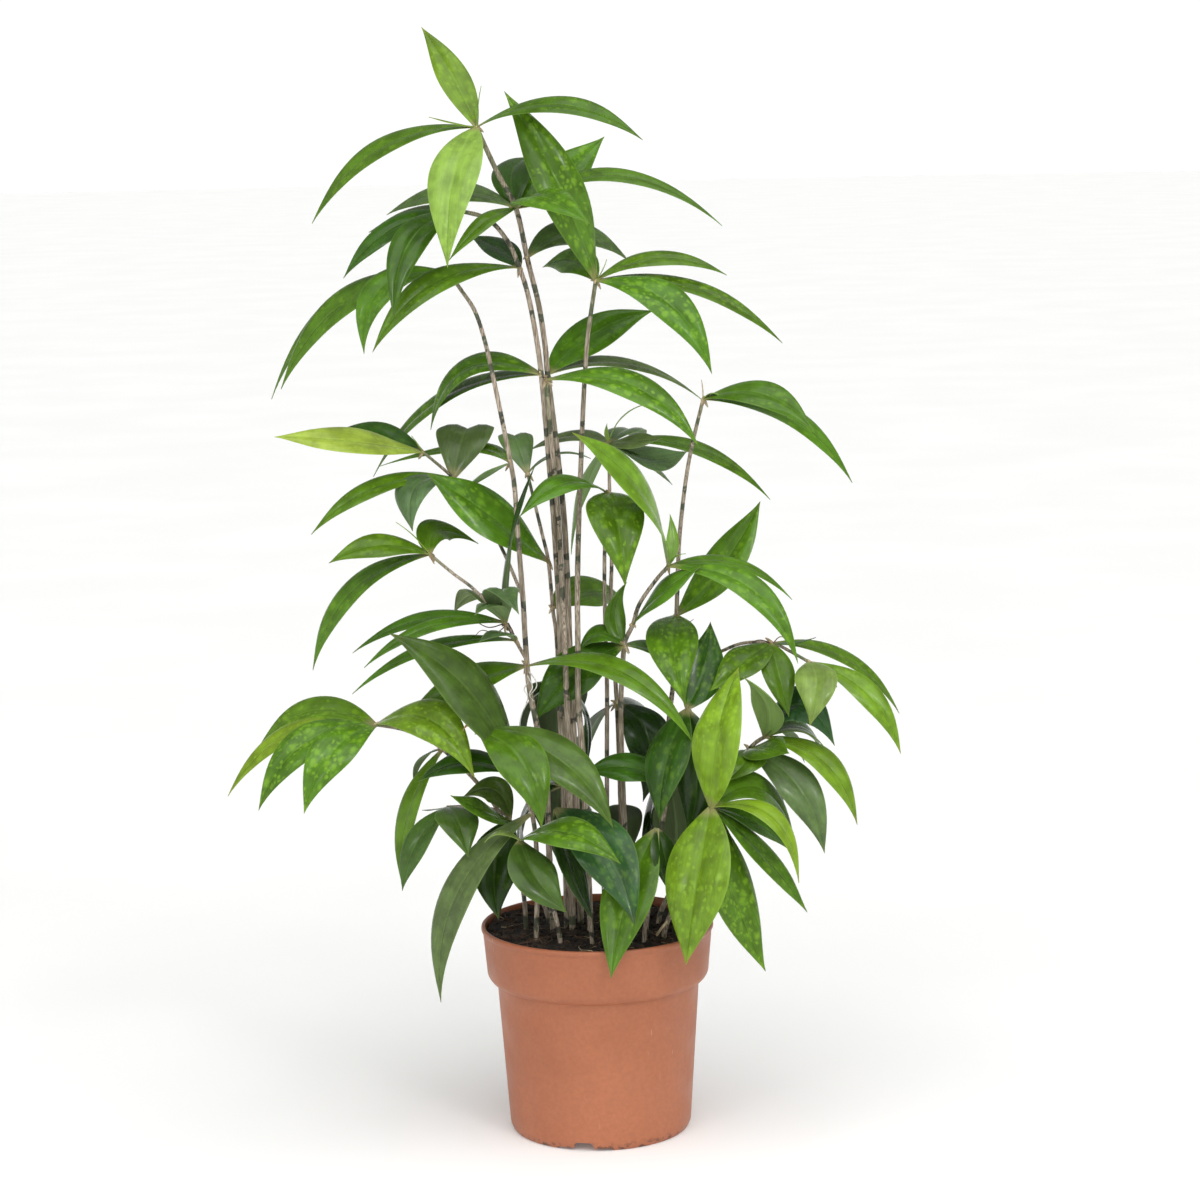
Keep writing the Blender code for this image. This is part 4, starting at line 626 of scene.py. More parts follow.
def leaf_material():
    """Leaves: lengthwise veins, midrib, a painted rim of light along the blade's edge, soft gold-dust spots and
    a paler underside, brightened further by painted light shining through.
    """
    n = Nodes("leaf", 0.3)
    at = n.read("leaf_at").outputs["Vector"]
    place = n.add("SeparateXYZ", {0: n.read("leaf_place").outputs["Vector"]})
    along, across, under = place.outputs[0], place.outputs[1], place.outputs[2]
    style = n.add("SeparateXYZ", {0: n.read("leaf_style").outputs["Vector"]})
    spotted, young = style.outputs[0], style.outputs[1]
    tint = n.read("leaf_tint").outputs["Color"]
    side = n.math("ABSOLUTE", across)

    cloud = n.noise(at, 70.0, 3.0)
    colour = n.colour_times(tint, n.ramp(cloud, 0.3, 0.7, 0.78, 1.2))
    drawn = n.add("Mapping", {"Vector": at, "Scale": (1.0, 0.05, 1.0)}).outputs[0]
    streak = n.noise(drawn, 900.0, 3.0, 0.6)
    broad = n.noise(drawn, 260.0, 2.0)
    colour = n.colour_times(colour, n.ramp(streak, 0.25, 0.75, 0.93, 1.07))
    colour = n.colour_times(colour, n.ramp(broad, 0.3, 0.7, 0.93, 1.08))

    nudge = n.colour_times(n.add("TexNoise", {"Vector": at, "Scale": 230.0}).outputs["Color"], 0.004)
    bent = n.add("VectorMath", {0: at, 1: (1.0, 0.75, 1.0), 2: nudge}, operation="MULTIPLY_ADD").outputs[0]
    shown = None
    for scale, share in ((150.0, 0.0), (290.0, -0.1)):
        spots = n.add("TexVoronoi", {"Vector": bent, "Scale": scale, "Randomness": 0.95}, feature="F1")
        dot = n.ramp(spots.outputs["Distance"], 0.12, 0.52, 1.0, 0.0)
        chosen = n.add("SeparateColor", {0: spots.outputs["Color"]}).outputs[0]
        patch = n.ramp(n.noise(at, 34.0), 0.38, 0.62, -0.25, 0.25)
        density = n.math("MULTIPLY_ADD", spotted, 0.16, share)
        picked = n.ramp(n.plus(chosen, n.plus(patch, density)), 0.66, 0.86)
        layer = n.times(dot, picked)
        shown = layer if shown is None else n.math("MAXIMUM", shown, layer)
    shown = n.times(shown, n.ramp(side, 0.8, 0.98, 1.0, 0.0))
    shown = n.times(shown, n.math("MULTIPLY_ADD", spotted, 0.2, 0.16))
    dust = n.mix(0.5, n.colour_times(tint, 2.2), rgb(0.2, 0.34, 0.02))
    colour = n.mix(n.math("MINIMUM", shown, 0.8), colour, dust)

    rib = n.ramp(side, 0.025, 0.075, 1.0, 0.0)
    rib_colour = n.mix(0.3, n.colour_times(tint, 1.5), rgb(0.2, 0.33, 0.07))
    colour = n.mix(n.times(rib, 0.3), colour, rib_colour)
    # Painted highlight: a thin rim of light painted along the blade's edge on every leaf.
    rim_light_mask = n.ramp(side, 0.93, 0.985)
    painted_rim_light = n.mix(0.4, n.colour_times(tint, 2.0), rgb(0.2, 0.3, 0.05))
    colour = n.mix(n.times(rim_light_mask, 0.35), colour, painted_rim_light)
    warm = n.times(n.ramp(along, 0.9, 1.0), n.ramp(young, 0.0, 1.0, 0.1, 0.5))
    colour = n.mix(warm, colour, rgb(0.3, 0.28, 0.05))
    # Paler underside: its own paler green, brightened further as painted light that stands in for light shining
    # through the leaf.
    pale_underside_painted_light = n.mix(0.45, n.colour_times(tint, 1.9), rgb(0.2, 0.25, 0.12))
    pale_underside_painted_light = n.colour_times(pale_underside_painted_light, n.ramp(streak, 0.25, 0.75, 0.88, 1.12))
    pale_underside_painted_light = n.mix(n.times(rib, 0.4), pale_underside_painted_light, rgb(0.24, 0.33, 0.13))
    colour = n.mix(under, colour, pale_underside_painted_light)
    base = n.ramp(along, 0.02, 0.09, 1.0, 0.0)
    colour = n.mix(n.times(base, 0.75), colour, rgb(0.3, 0.27, 0.12))
    n.dress("Base Color", colour)

    rough = n.ramp(n.plus(broad, n.noise(at, 90.0)), 0.7, 1.3, 0.17, 0.32)
    rough = n.plus(rough, n.times(under, 0.3))
    n.dress("Roughness", rough)
    n.dress("Specular IOR Level", 0.26)
    height = n.math("MULTIPLY_ADD", streak, 0.5, n.times(broad, 1.6))
    height = n.plus(height, n.times(cloud, 1.2))
    height = n.math("SUBTRACT", height, n.times(rib, 0.9))
    n.bump(height, 0.5, 0.00012)
    return n.material


def cane_material():
    """Canes: papery tan-grey sheaths with greenish-black bands where they end, and fine lengthwise fibres."""
    n = Nodes("cane", 0.6)
    place = n.add("SeparateXYZ", {0: n.read("cane_place").outputs["Vector"]})
    along, young = place.outputs[0], place.outputs[2]
    where = n.where()
    stretch = n.add("Mapping", {"Vector": where, "Scale": (1.0, 1.0, 0.06)}).outputs[0]
    step = n.plus(n.times(along, 52.0), n.times(n.noise(where, 16.0), 3.4))
    phase = n.math("FRACT", step)
    number = n.add("CombineXYZ", {0: n.math("FLOOR", step), 1: 3.7, 2: 0.0}).outputs[0]
    pick = n.add("TexWhiteNoise", {"Vector": number}, noise_dimensions="3D").outputs["Value"]
    ragged = n.math("MULTIPLY_ADD", n.noise(where, 330.0, 3.0), 1.1, n.math("MULTIPLY_ADD", pick, 0.4, -0.85))
    cut = n.plus(phase, ragged)
    band = n.times(n.ramp(cut, 0.62, 0.74), n.ramp(phase, 0.96, 1.0, 1.0, 0.3))
    band = n.times(band, n.ramp(pick, 0.3, 0.45))
    streak = n.noise(stretch, 1500.0, 3.0)
    sheath = n.mix(n.ramp(streak, 0.35, 0.65), rgb(0.17, 0.125, 0.085), rgb(0.5, 0.42, 0.33))
    sheath = n.mix(n.ramp(n.noise(where, 60.0), 0.45, 0.75, 0.0, 0.7), sheath, rgb(0.16, 0.135, 0.085))
    dark = n.mix(n.ramp(n.noise(where, 160.0), 0.35, 0.7), rgb(0.018, 0.02, 0.012), rgb(0.06, 0.08, 0.035))
    colour = n.mix(n.times(band, 0.92), sheath, dark)
    green = n.mix(n.ramp(streak, 0.3, 0.7), rgb(0.05, 0.09, 0.02), rgb(0.16, 0.2, 0.08))
    colour = n.mix(n.times(young, 0.75), colour, green)
    n.dress("Base Color", colour)
    n.dress("Roughness", n.ramp(band, 0.0, 1.0, 0.7, 0.45))
    lip = n.ramp(cut, 0.56, 0.7, 1.0, 0.0)
    n.bump(n.plus(n.times(streak, 0.5), lip), 0.6, 0.0004)
    return n.material


def pot_material():
    """Moulded terracotta-coloured plastic: faint mottling, scuffs and pale scratches under the band."""
    n = Nodes("terracotta_plastic", 0.5)
    where = n.where()
    part = n.add("SeparateXYZ", {0: where})
    cloud = n.noise(where, 9.0, 4.0, 0.6)
    colour = n.mix(n.ramp(cloud, 0.3, 0.7), rgb(0.335, 0.105, 0.044), rgb(0.405, 0.137, 0.062))
    fine = n.noise(where, 320.0, 3.0, 0.7)
    colour = n.colour_times(colour, n.ramp(fine, 0.3, 0.7, 0.94, 1.06))
    drawn = {"Vector": where, "Scale": (1.0, 1.0, 0.12), "Rotation": (0.25, 0.1, 0.0)}
    rubbed = n.add("Mapping", drawn).outputs[0]
    scratch = n.ramp(n.noise(rubbed, 620.0, 2.0, 0.4), 0.7, 0.76)
    scratch = n.times(scratch, n.ramp(n.noise(where, 26.0), 0.55, 0.66))
    colour = n.mix(n.times(scratch, 0.5), colour, rgb(0.62, 0.42, 0.33))
    # Dark patches in the lowest 8 mm, towards the bottom of the foot.
    dark_patches_low = n.times(n.ramp(part.outputs[2], 0.008, 0.001), n.ramp(n.noise(where, 260.0, 3.0), 0.52, 0.6))
    colour = n.mix(n.times(dark_patches_low, 0.8), colour, rgb(0.05, 0.03, 0.02))
    n.dress("Base Color", colour)
    n.dress("Roughness", n.ramp(n.noise(where, 40.0, 4.0), 0.3, 0.7, 0.4, 0.56))
    n.bump(n.plus(fine, n.times(scratch, -0.6)), 0.14, 0.0003)
    return n.material


def peat_material():
    """Moist dark peat with brown crumbs."""
    n = Nodes("peat", 0.9)
    where = n.where()
    fine = n.noise(where, 420.0, 6.0, 0.7)
    crumb = n.noise(where, 120.0, 5.0, 0.65)
    colour = n.mix(n.ramp(crumb, 0.4, 0.68), rgb(0.0075, 0.005, 0.0035), rgb(0.05, 0.028, 0.016))
    colour = n.mix(n.ramp(fine, 0.6, 0.74), colour, rgb(0.1, 0.055, 0.03))
    n.dress("Base Color", colour)
    n.dress("Roughness", n.ramp(fine, 0.3, 0.7, 0.78, 0.97))
    n.bump(n.plus(fine, crumb), 0.9, 0.0016)
    return n.material


def fibre_material(name, dark, light, roughness=0.75):
    n = Nodes(name, roughness)
    where = n.where()
    blotch = n.noise(where, 90.0, 3.0)
    colour = n.mix(n.ramp(blotch, 0.35, 0.65), rgb(*dark), rgb(*light))
    fine = n.noise(where, 700.0, 3.0)
    colour = n.colour_times(colour, n.ramp(fine, 0.3, 0.7, 0.8, 1.2))
    n.dress("Base Color", colour)
    n.dress("Roughness", n.ramp(fine, 0.3, 0.7, roughness - 0.1, roughness + 0.1))
    n.bump(fine, 0.5, 0.0003)
    return n.material


def floor_material():
    n = Nodes("floor", 0.75)
    where = n.where()
    colour = n.mix(n.ramp(n.noise(where, 3.0), 0.3, 0.7), rgb(0.86, 0.86, 0.85), rgb(0.89, 0.89, 0.88))
    n.dress("Base Color", colour)
    n.dress("Emission Color", rgb(1, 1, 1))
    n.dress("Emission Strength", FLOOR_GLOW)
    return n.material


def leaf_width(s):
    """The blade's width over its length, as a share of the widest: stalk, broad middle, drawn-out tip."""
    stalk = 0.1 * (1 - s)
    return max(math.sin(math.pi * s ** 0.85), 0.0) ** 1.15 + stalk


def leaf_line(base, via, tip, s):
    """A point of the curve from the base through via to the tip, and the direction there."""
    t = (via - base).length / ((via - base).length + (tip - via).length)
    pull = (via - base * (1 - t) ** 2 - tip * t ** 2) / (2 * t * (1 - t))
    point = base * (1 - s) ** 2 + pull * 2 * s * (1 - s) + tip * s ** 2
    along = (pull - base) * (1 - s) + (tip - pull) * s
    return point, along.normalized()


def leaf_frame(base, tip, along, turn, s):
    """Across the blade and out of its upper face, turned to the viewer by its share of these degrees."""
    heading = Vector((tip.x - base.x, tip.y - base.y, 0))
    if heading.length < 1e-4:
        heading = Vector((1, 0, 0))
    side = heading.normalized().cross(Vector((0, 0, 1)))
    side = (side - along * side.dot(along)).normalized()
    face = side.cross(along)
    angle = math.radians(turn) * min(TWIST_BASE + TWIST_RATE * s, TWIST_MOST) * (1 if side.y < 0 else -1)
    return side * math.cos(angle) - face * math.sin(angle), face * math.cos(angle) + side * math.sin(angle)


class Foliage:
    """Gathers the leaves of one stem into one mesh, with what the leaf material reads at each point."""

    def __init__(self):
        self.points = []
        self.faces = []
        self.at = []
        self.place = []
        self.style = []
        self.tint = []

    def add_leaf(self, base, via, tip, width, turn, look):
        number = random.random() * 40
        wave = random.random() * math.tau
        tint = TINTS[look[0]]
        shade = random.uniform(0.85, 1.18)
        yellow = random.uniform(0.9, 1.12)
        colour = (tint[0] * shade * yellow, tint[1] * shade, tint[2] * shade / yellow, 1.0)
        style = (float(look[1]), 1.0 if look[0] in "lp" else 0.0, 0.0)
        length = (via - base).length + (tip - via).length
        rows, steps = (LEAF_ROWS, LEAF_STEPS) if width > SMALL_LEAF else (LEAF_ROWS[::2], LEAF_STEPS // 2)
        first = len(self.points)
        for under in (0.0, 1.0):
            for i in range(steps + 1):
                s = i / steps
                centre, along = leaf_line(base, via, tip, s)
                side, face = leaf_frame(base, tip, along, turn, s)
                half = max(leaf_width(s) * width, BASE_WIDTH * (1 - s) ** 6, 0.02) * CM / 2
                thick = (BLADE_THICKNESS + (BASE_THICKNESS - BLADE_THICKNESS) * (1 - s) ** 6) * CM / 2
                for t in rows:
                    a = abs(t)
                    lift = CHANNEL * half * 2 * a * (1 - DROOP * a * a)
                    lift += FOLD * half * math.sin(math.pi * a) * s
                    phase = EDGE_WAVE_RATE * s + wave + (EDGE_WAVE_SHIFT if t > 0 else 0.0)
                    lift += EDGE_WAVE * half * a * a * math.sin(phase)
                    edge = thick * (1 - EDGE_THINNING * a ** 4)
                    point = centre + side * half * t + face * (lift + (edge if not under else -edge))
                    self.points.append(point)
                    self.at.append((half * t, length * s, number))
                    self.place.append((s, t, under))
                    self.style.append(style)
                    self.tint.append(colour)
        wide = len(rows)
        low = first + (steps + 1) * wide
        for i in range(steps):
            for j in range(wide - 1):
                a, b = first + i * wide + j, first + (i + 1) * wide + j
                self.faces.append((a, a + 1, b + 1, b))
                a, b = low + i * wide + j, low + (i + 1) * wide + j
                self.faces.append((a, b, b + 1, a + 1))
            for j, turned in ((0, False), (wide - 1, True)):
                a, b = first + i * wide + j, first + (i + 1) * wide + j
                c, d = low + i * wide + j, low + (i + 1) * wide + j
                self.faces.append((a, c, d, b) if turned else (a, b, d, c))
        for i, turned in ((0, False), (steps, True)):
            for j in range(wide - 1):
                a, c = first + i * wide + j, low + i * wide + j
                self.faces.append((a, a + 1, c + 1, c) if turned else (a, c, c + 1, a + 1))

    def build(self, name, material):
        mesh = new_mesh(name, self.points, self.faces, material)
        add_attribute(mesh, "leaf_at", self.at)
        add_attribute(mesh, "leaf_place", self.place)
        add_attribute(mesh, "leaf_style", self.style)
        add_attribute(mesh, "leaf_tint", self.tint, "FLOAT_COLOR", "color")
        return finished(name, mesh)


def linked(name, data):
    """A new object of this mesh, light or camera, in the scene."""
    made = bpy.data.objects.new(name, data)
    bpy.context.scene.collection.objects.link(made)
    return made


def new_mesh(name, points, faces, material=None):
    mesh = bpy.data.meshes.new(name)
    mesh.from_pydata([tuple(p) for p in points], [], faces)
    if material:
        mesh.materials.append(material)
    return mesh


def mesh_from(name, bm):
    mesh = bpy.data.meshes.new(name)
    bm.to_mesh(mesh)
    bm.free()
    return mesh


def add_attribute(mesh, name, values, kind="FLOAT_VECTOR", field="vector"):
    """Store one value for each point, for the material to read."""
    made = mesh.attributes.new(name, kind, "POINT")
    made.data.foreach_set(field, [x for value in values for x in value])


def finished(name, mesh, smooth=True, angle=50.0):
    """The mesh as a shown piece, shaded smooth up to this angle."""
    bm = bmesh.new()
    bm.from_mesh(mesh)
    bmesh.ops.recalc_face_normals(bm, faces=bm.faces)
    bm.to_mesh(mesh)
    bm.free()
    if smooth:
        mesh.shade_smooth()
        mesh.set_sharp_from_angle(angle=math.radians(angle))
    return linked(name, mesh)


def smooth_path(points, steps):
    """A Catmull-Rom curve through the points."""
    path = []
    last = len(points) - 1
    for i in range(last):
        a, b = points[max(i - 1, 0)], points[i]
        c, d = points[i + 1], points[min(i + 2, last)]
        for k in range(steps):
            t = k / steps
            path.append(0.5 * (2 * b + (c - a) * t + (2 * a - 5 * b + 4 * c - d) * t * t
                               + (3 * b - a - 3 * c + d) * t ** 3))
    path.append(points[-1])
    return path


class Tubes:
    """Gathers round stems, roots or fibres into one mesh."""

    def __init__(self):
        self.points = []
        self.faces = []
        self.place = []

    def add(self, path, radius_at, sides, young_at=None, start=0.0):
        first = len(self.points)
        across = Vector((1, 0, 0))
        run = start
        for i, point in enumerate(path):
            along = (path[min(i + 1, len(path) - 1)] - path[max(i - 1, 0)]).normalized()
            if abs(along.dot(across)) > 0.95:
                across = Vector((0, 1, 0))
            across = (across - along * across.dot(along)).normalized()
            other = along.cross(across)
            if i:
                run += (point - path[i - 1]).length
            share = i / (len(path) - 1)
            radius = radius_at(share, run)
            for k in range(sides):
                a = math.tau * k / sides
                self.points.append(point + (across * math.cos(a) + other * math.sin(a)) * radius)
                self.place.append((run, a, young_at(share) if young_at else 0.0))
        for i in range(len(path) - 1):
            for k in range(sides):
                low, high = first + i * sides, first + (i + 1) * sides
                j = (k + 1) % sides
                self.faces.append((low + k, low + j, high + j, high + k))
        self.faces.append(tuple(first + k for k in reversed(range(sides))))
        end = len(self.points) - sides
        self.faces.append(tuple(end + k for k in range(sides)))

    def build(self, name, material):
        mesh = new_mesh(name, self.points, self.faces, material)
        add_attribute(mesh, "cane_place", self.place)
        return finished(name, mesh, angle=60.0)


def cane_paths(foot, canes):
    """The curve's points of the foot's cane, upright in the soil at first, then those of its branches."""
    x, near = foot
    foot = [AXIS + Vector((x, -near, FOOT_DEPTH_Z)) * CM, AXIS + Vector((x, -near, STRAIGHT_TOP_Z)) * CM]
    first, *branches = [[seen(*p) for p in cane] for cane in canes]
    return [foot + first] + branches


def build_stem(name, stem, leaf_look, cane_look):
    """One leafy stem: its canes and its leaves, two pieces that stand for the CAD node."""
    foot, radii, canes, whorls = stem
    low, high = (r * CM for r in radii)
    trunk, *branches = cane_paths(foot, canes)
    tubes = Tubes()
    offset = random.uniform(0, 0.3)

    def ringed(thin_from, thin_to):
        return lambda share, run: ((thin_from + (thin_to - thin_from) * share)
                                   * (1.0 + RING_SWELL * max(math.sin(run * RING_RATE), 0.0) ** 6))

    tubes.add(smooth_path(trunk, CANE_STEPS), ringed(low, high), CANE_SIDES,
              lambda share: max(0.0, share - 0.9) * 10, offset)
    for path in branches:
        tubes.add(smooth_path(path, CANE_STEPS), ringed(high, high * BRANCH_TAPER), CANE_SIDES,
                  lambda share: max(0.0, share - 0.75) * 4, offset)
    cane = tubes.build(name + "_cane", cane_look)
    foliage = Foliage()
    for whorl, leaves in whorls:
        for via, tip, width, turn, look in leaves:
            foliage.add_leaf(seen(*whorl), seen(*via), seen(*tip), width, turn, look)
    leaves = foliage.build(name + "_leaves", leaf_look)
    for piece in (cane, leaves):
        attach(piece, "root")
        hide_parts(name)


def build_bracts(material):
    """Tan papery bracts and short spikes where leaves spring from a cane."""
    tubes = Tubes()
    for *_, whorls in STEMS.values():
        for whorl, _ in whorls:
            if whorl[1] < BRACTS_FROM_Z:
                continue
            centre = seen(*whorl)
            for _ in range(BRACTS_EACH):
                a = random.uniform(0, math.tau)
                lean = Vector((math.cos(a) * 0.55, math.sin(a) * 0.55, random.uniform(-0.9, 0.7)))
                length = random.uniform(0.5, 0.95) * CM
                drop = Vector((0, 0, -0.1 * CM))
                path = [centre, centre + lean * length * 0.5, centre + lean * length + drop]
                tubes.add(smooth_path(path, 4),
                          lambda share, run: BRACT_RADIUS * CM * (1 - share) ** 0.7 + BRACT_TIP_RADIUS, 6)
    piece = tubes.build("bracts", material)
    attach(piece, "root")


def lathe(name, profile, sides, height_at=None):
    """A closed turned mesh from a profile of (radius, height) in mm that starts and ends on the axis."""
    points = [Vector((0, 0, height_at(0, 0, profile[0][1]) if height_at else profile[0][1]))]
    rings = []
    for radius, height in profile[1:-1]:
        rings.append(len(points))
        for i in range(sides):
            a = math.tau * i / sides
            x, y = radius * math.cos(a), radius * math.sin(a)
            points.append(Vector((x, y, height_at(x, y, height) if height_at else height)))
    points.append(Vector((0, 0, height_at(0, 0, profile[-1][1]) if height_at else profile[-1][1])))
    last = len(points) - 1
    faces = []
    for i in range(sides):
        j = (i + 1) % sides
        faces.append((0, rings[0] + j, rings[0] + i))
        for low, high in zip(rings, rings[1:]):
            faces.append((low + i, low + j, high + j, high + i))
        faces.append((last, rings[-1] + i, rings[-1] + j))
    return new_mesh(name, [AXIS + p * MM for p in points], faces)


def rounded(points, radius, steps=4):
    """A profile with every inner corner rounded to about this radius (mm)."""
    out = [points[0]]
    for i in range(1, len(points) - 1):
        before, corner, after = (Vector(points[i + k]) for k in (-1, 0, 1))
        reach_in = min(radius, (corner - before).length * 0.45)
        reach_out = min(radius, (after - corner).length * 0.45)
        start = corner + (before - corner).normalized() * reach_in
        end = corner + (after - corner).normalized() * reach_out
        for k in range(steps + 1):
            t = k / steps
            out.append(tuple(start * (1 - t) ** 2 + corner * 2 * t * (1 - t) + end * t * t))
    return out + [points[-1]]


def cutter(name, bm, collection):
    bmesh.ops.scale(bm, verts=bm.verts, vec=(MM, MM, MM))
    bmesh.ops.translate(bm, verts=bm.verts, vec=AXIS)
    collection.objects.link(bpy.data.objects.new(name, mesh_from(name, bm)))


def build_pot(material):
    """The moulded pot: rolled lip, band, tapered body, notched foot ring and drain holes."""
    low_wall = POT_BODY_RADIUS_LOW - POT_WALL
    outside = [
        (0, POT_FLOOR_UNDER),
        (POT_FOOT_INNER_RADIUS, POT_FLOOR_UNDER),
        (POT_FOOT_INNER_RADIUS, 0),
        (POT_FOOT_RADIUS, 0),
        (POT_BODY_RADIUS_LOW, POT_FOOT_HEIGHT),
        (POT_GROOVE_RADIUS, POT_GROOVE_HEIGHT),
        (POT_BEVEL_RADIUS, POT_GROOVE_HEIGHT + POT_BEVEL_RISE),
        (POT_BAND_RADIUS_LOW, POT_GROOVE_HEIGHT + POT_BAND_RISE),
        (POT_BAND_RADIUS_HIGH, POT_HEIGHT - POT_RIM_DEPTH),
        (POT_RIM_RADIUS, POT_HEIGHT - POT_RIM_DEPTH + POT_RIM_SLOPE),
        (POT_RIM_RADIUS, POT_HEIGHT - POT_RIM_BEVEL),
        (POT_RIM_RADIUS - POT_RIM_BEVEL, POT_HEIGHT),
        (POT_BAND_RADIUS_HIGH - POT_WALL, POT_HEIGHT),
        (POT_BAND_RADIUS_LOW - POT_WALL, POT_GROOVE_HEIGHT + POT_INNER_BAND_RISE),
        (POT_GROOVE_RADIUS - POT_WALL, POT_GROOVE_HEIGHT + POT_INNER_GROOVE_RISE),
        (low_wall, POT_FLOOR_TOP + POT_INNER_BEVEL),
        (low_wall - POT_INNER_BEVEL, POT_FLOOR_TOP),
        (0, POT_FLOOR_TOP),
    ]
    pot = linked("pot_shell", lathe("pot_shell", rounded(outside, POT_ROUNDING), POT_SIDES))
    cutters = bpy.data.collections.new("pot_cutters")
    bpy.context.scene.collection.children.link(cutters)
    for i in range(NOTCH_COUNT):
        turn = math.radians(NOTCH_TURN + 360.0 * i / NOTCH_COUNT)
        for width, top, height, corner in ((NOTCH_WIDTH_LOW, NOTCH_WIDTH_HIGH, NOTCH_HEIGHT, 2.2),
                                           (STEP_WIDTH, STEP_WIDTH, STEP_HEIGHT, 0.6)):
            bm = bmesh.new()
            bmesh.ops.create_cube(bm, size=1.0)
            for vert in bm.verts:
                wide = top if vert.co.z > 0 else width
                y = vert.co.y * FOOT_CUT_DEPTH - FOOT_CUT_CENTRE
                vert.co = Vector((vert.co.x * wide, y, height if vert.co.z > 0 else -2.0))
            corners = [edge for edge in bm.edges
                       if all(v.co.z > 0 for v in edge.verts) and edge.verts[0].co.x == edge.verts[1].co.x]
            bmesh.ops.bevel(bm, geom=corners, offset=corner, segments=5, profile=0.5, affect="EDGES")
            bmesh.ops.rotate(bm, verts=bm.verts, cent=(0, 0, 0), matrix=Matrix.Rotation(turn, 3, "Z"))
            cutter("notch", bm, cutters)
    for i in range(DRAIN_COUNT):
        a = math.tau * (i + 0.5) / DRAIN_COUNT
        bm = bmesh.new()
        bmesh.ops.create_cone(bm, cap_ends=True, segments=32, radius1=DRAIN_RADIUS, radius2=DRAIN_RADIUS,
                              depth=DRAIN_CUT_DEPTH)
        centre = Vector((DRAIN_CIRCLE * math.cos(a), DRAIN_CIRCLE * math.sin(a), POT_FLOOR_TOP - 1.0))
        bmesh.ops.translate(bm, verts=bm.verts, vec=centre)
        cutter("drain", bm, cutters)
    cut = pot.modifiers.new("cut", "BOOLEAN")
    cut.operation = "DIFFERENCE"
    cut.operand_type = "COLLECTION"
    cut.collection = cutters
    graph = bpy.context.evaluated_depsgraph_get()
    mesh = bpy.data.meshes.new_from_object(pot.evaluated_get(graph))
    bpy.data.objects.remove(pot)
    for other in list(cutters.objects):
        bpy.data.objects.remove(other)
    bpy.data.collections.remove(cutters)
    mesh.materials.clear()
    mesh.materials.append(material)
    pot = finished("pot_shell", mesh, angle=35.0)
    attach(pot, "root")
    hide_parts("pot")


def soil_height(x, y):
    """The top of the soil (mm), uneven and crumbly, a little higher at the left and nearest the stems."""
    level = SOIL_TOP - SOIL_SLOPE * x + SOIL_WAVE * math.sin(0.11 * x + 0.6) * math.cos(0.09 * y)
    level += SOIL_DOME * (1 - (x * x + y * y) / SOIL_TOP_RADIUS ** 2)
    return level + SOIL_ROUGHNESS * noise.fractal(Vector((x, y, 0)) * SOIL_GRAIN, 0.9, 2.0, 5)


def build_soil(material):
    """The peat's uneven surface, and the loose crumbs that lie on it."""
    edge = SOIL_TOP_RADIUS
    profile = [(0, SOIL_TOP - SOIL_DEPTH), (edge - 1.5, SOIL_TOP - SOIL_DEPTH)]
    profile += [(edge * (1 - i / SOIL_RINGS) ** 0.85, SOIL_TOP) for i in range(SOIL_RINGS)]
    profile.append((0, SOIL_TOP))

    def height(x, y, z):
        return soil_height(x, y) if z > SOIL_TOP - SOIL_DEPTH / 2 else z

    mesh = lathe("soil_bed", profile, SOIL_SIDES, height)
    mesh.materials.append(material)
    soil = finished("soil_bed", mesh, angle=70.0)
    bm = bmesh.new()
    for i in range(CRUMBS):
        a = random.uniform(0, math.tau)
        r = (edge - 3.0) * math.sqrt(random.random())
        x, y = r * math.cos(a), r * math.sin(a)
        size = random.uniform(*(CRUMB_SIZES if i % 9 else CRUMB_SIZES_LARGE))
        made = bmesh.ops.create_icosphere(bm, subdivisions=1, radius=size * MM)["verts"]
        squash = Matrix.Diagonal((random.uniform(0.7, 1.3), random.uniform(0.7, 1.2), random.uniform(0.5, 0.9)))
        turned = Matrix.Rotation(random.uniform(0, math.tau), 3, "Z") @ squash
        centre = AXIS + Vector((x, y, soil_height(x, y) + 0.2 * size)) * MM
        for vert in made:
            vert.co = turned @ vert.co * random.uniform(0.85, 1.15) + centre
    mesh = mesh_from("soil_crumbs", bm)
    mesh.materials.append(material)
    crumbs = finished("soil_crumbs", mesh, smooth=False)
    for piece in (soil, crumbs):
        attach(piece, "root")
        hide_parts("soil")


def build_fibres(material, tan):
    """Coarse root fibres lying on the peat, and one tan stick that leans on the rim."""
    reddish, pale = Tubes(), Tubes()
    edge = SOIL_TOP_RADIUS - 3.0
    for i in range(FIBRES):
        a = random.uniform(0, math.tau)
        r = edge * math.sqrt(random.random())
        x, y = r * math.cos(a), r * math.sin(a)
        heading = random.uniform(0, math.tau)
        length = random.uniform(*FIBRE_LENGTHS)
        path = []
        for _ in range(4):
            heading += random.uniform(-0.7, 0.7)
            height = soil_height(x, y) + 0.5 + random.uniform(-0.4, 1.6)
            path.append(AXIS + Vector((x, y, height)) * MM)
            x += math.cos(heading) * length / 3
            y += math.sin(heading) * length / 3
            if math.hypot(x, y) > edge + 2:
                break
        if len(path) > 2:
            thick = random.uniform(*FIBRE_RADII) * MM
            tubes = pale if i % 11 == 0 else reddish
            tubes.add(smooth_path(path, 3), lambda share, run: thick * (1 - 0.5 * share), 5)
    stick = [seen(4.35, 14.2, 5.0), seen(4.7, 14.7, 5.3), seen(5.15, 15.25, 5.5)]
    pale.add(smooth_path(stick, 4), lambda share, run: 0.11 * CM * (1 - 0.3 * share), 8)
    for tubes, name, look in ((reddish, "soil_fibres", material), (pale, "soil_sticks", tan)):
        piece = tubes.build(name, look)
        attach(piece, "root")


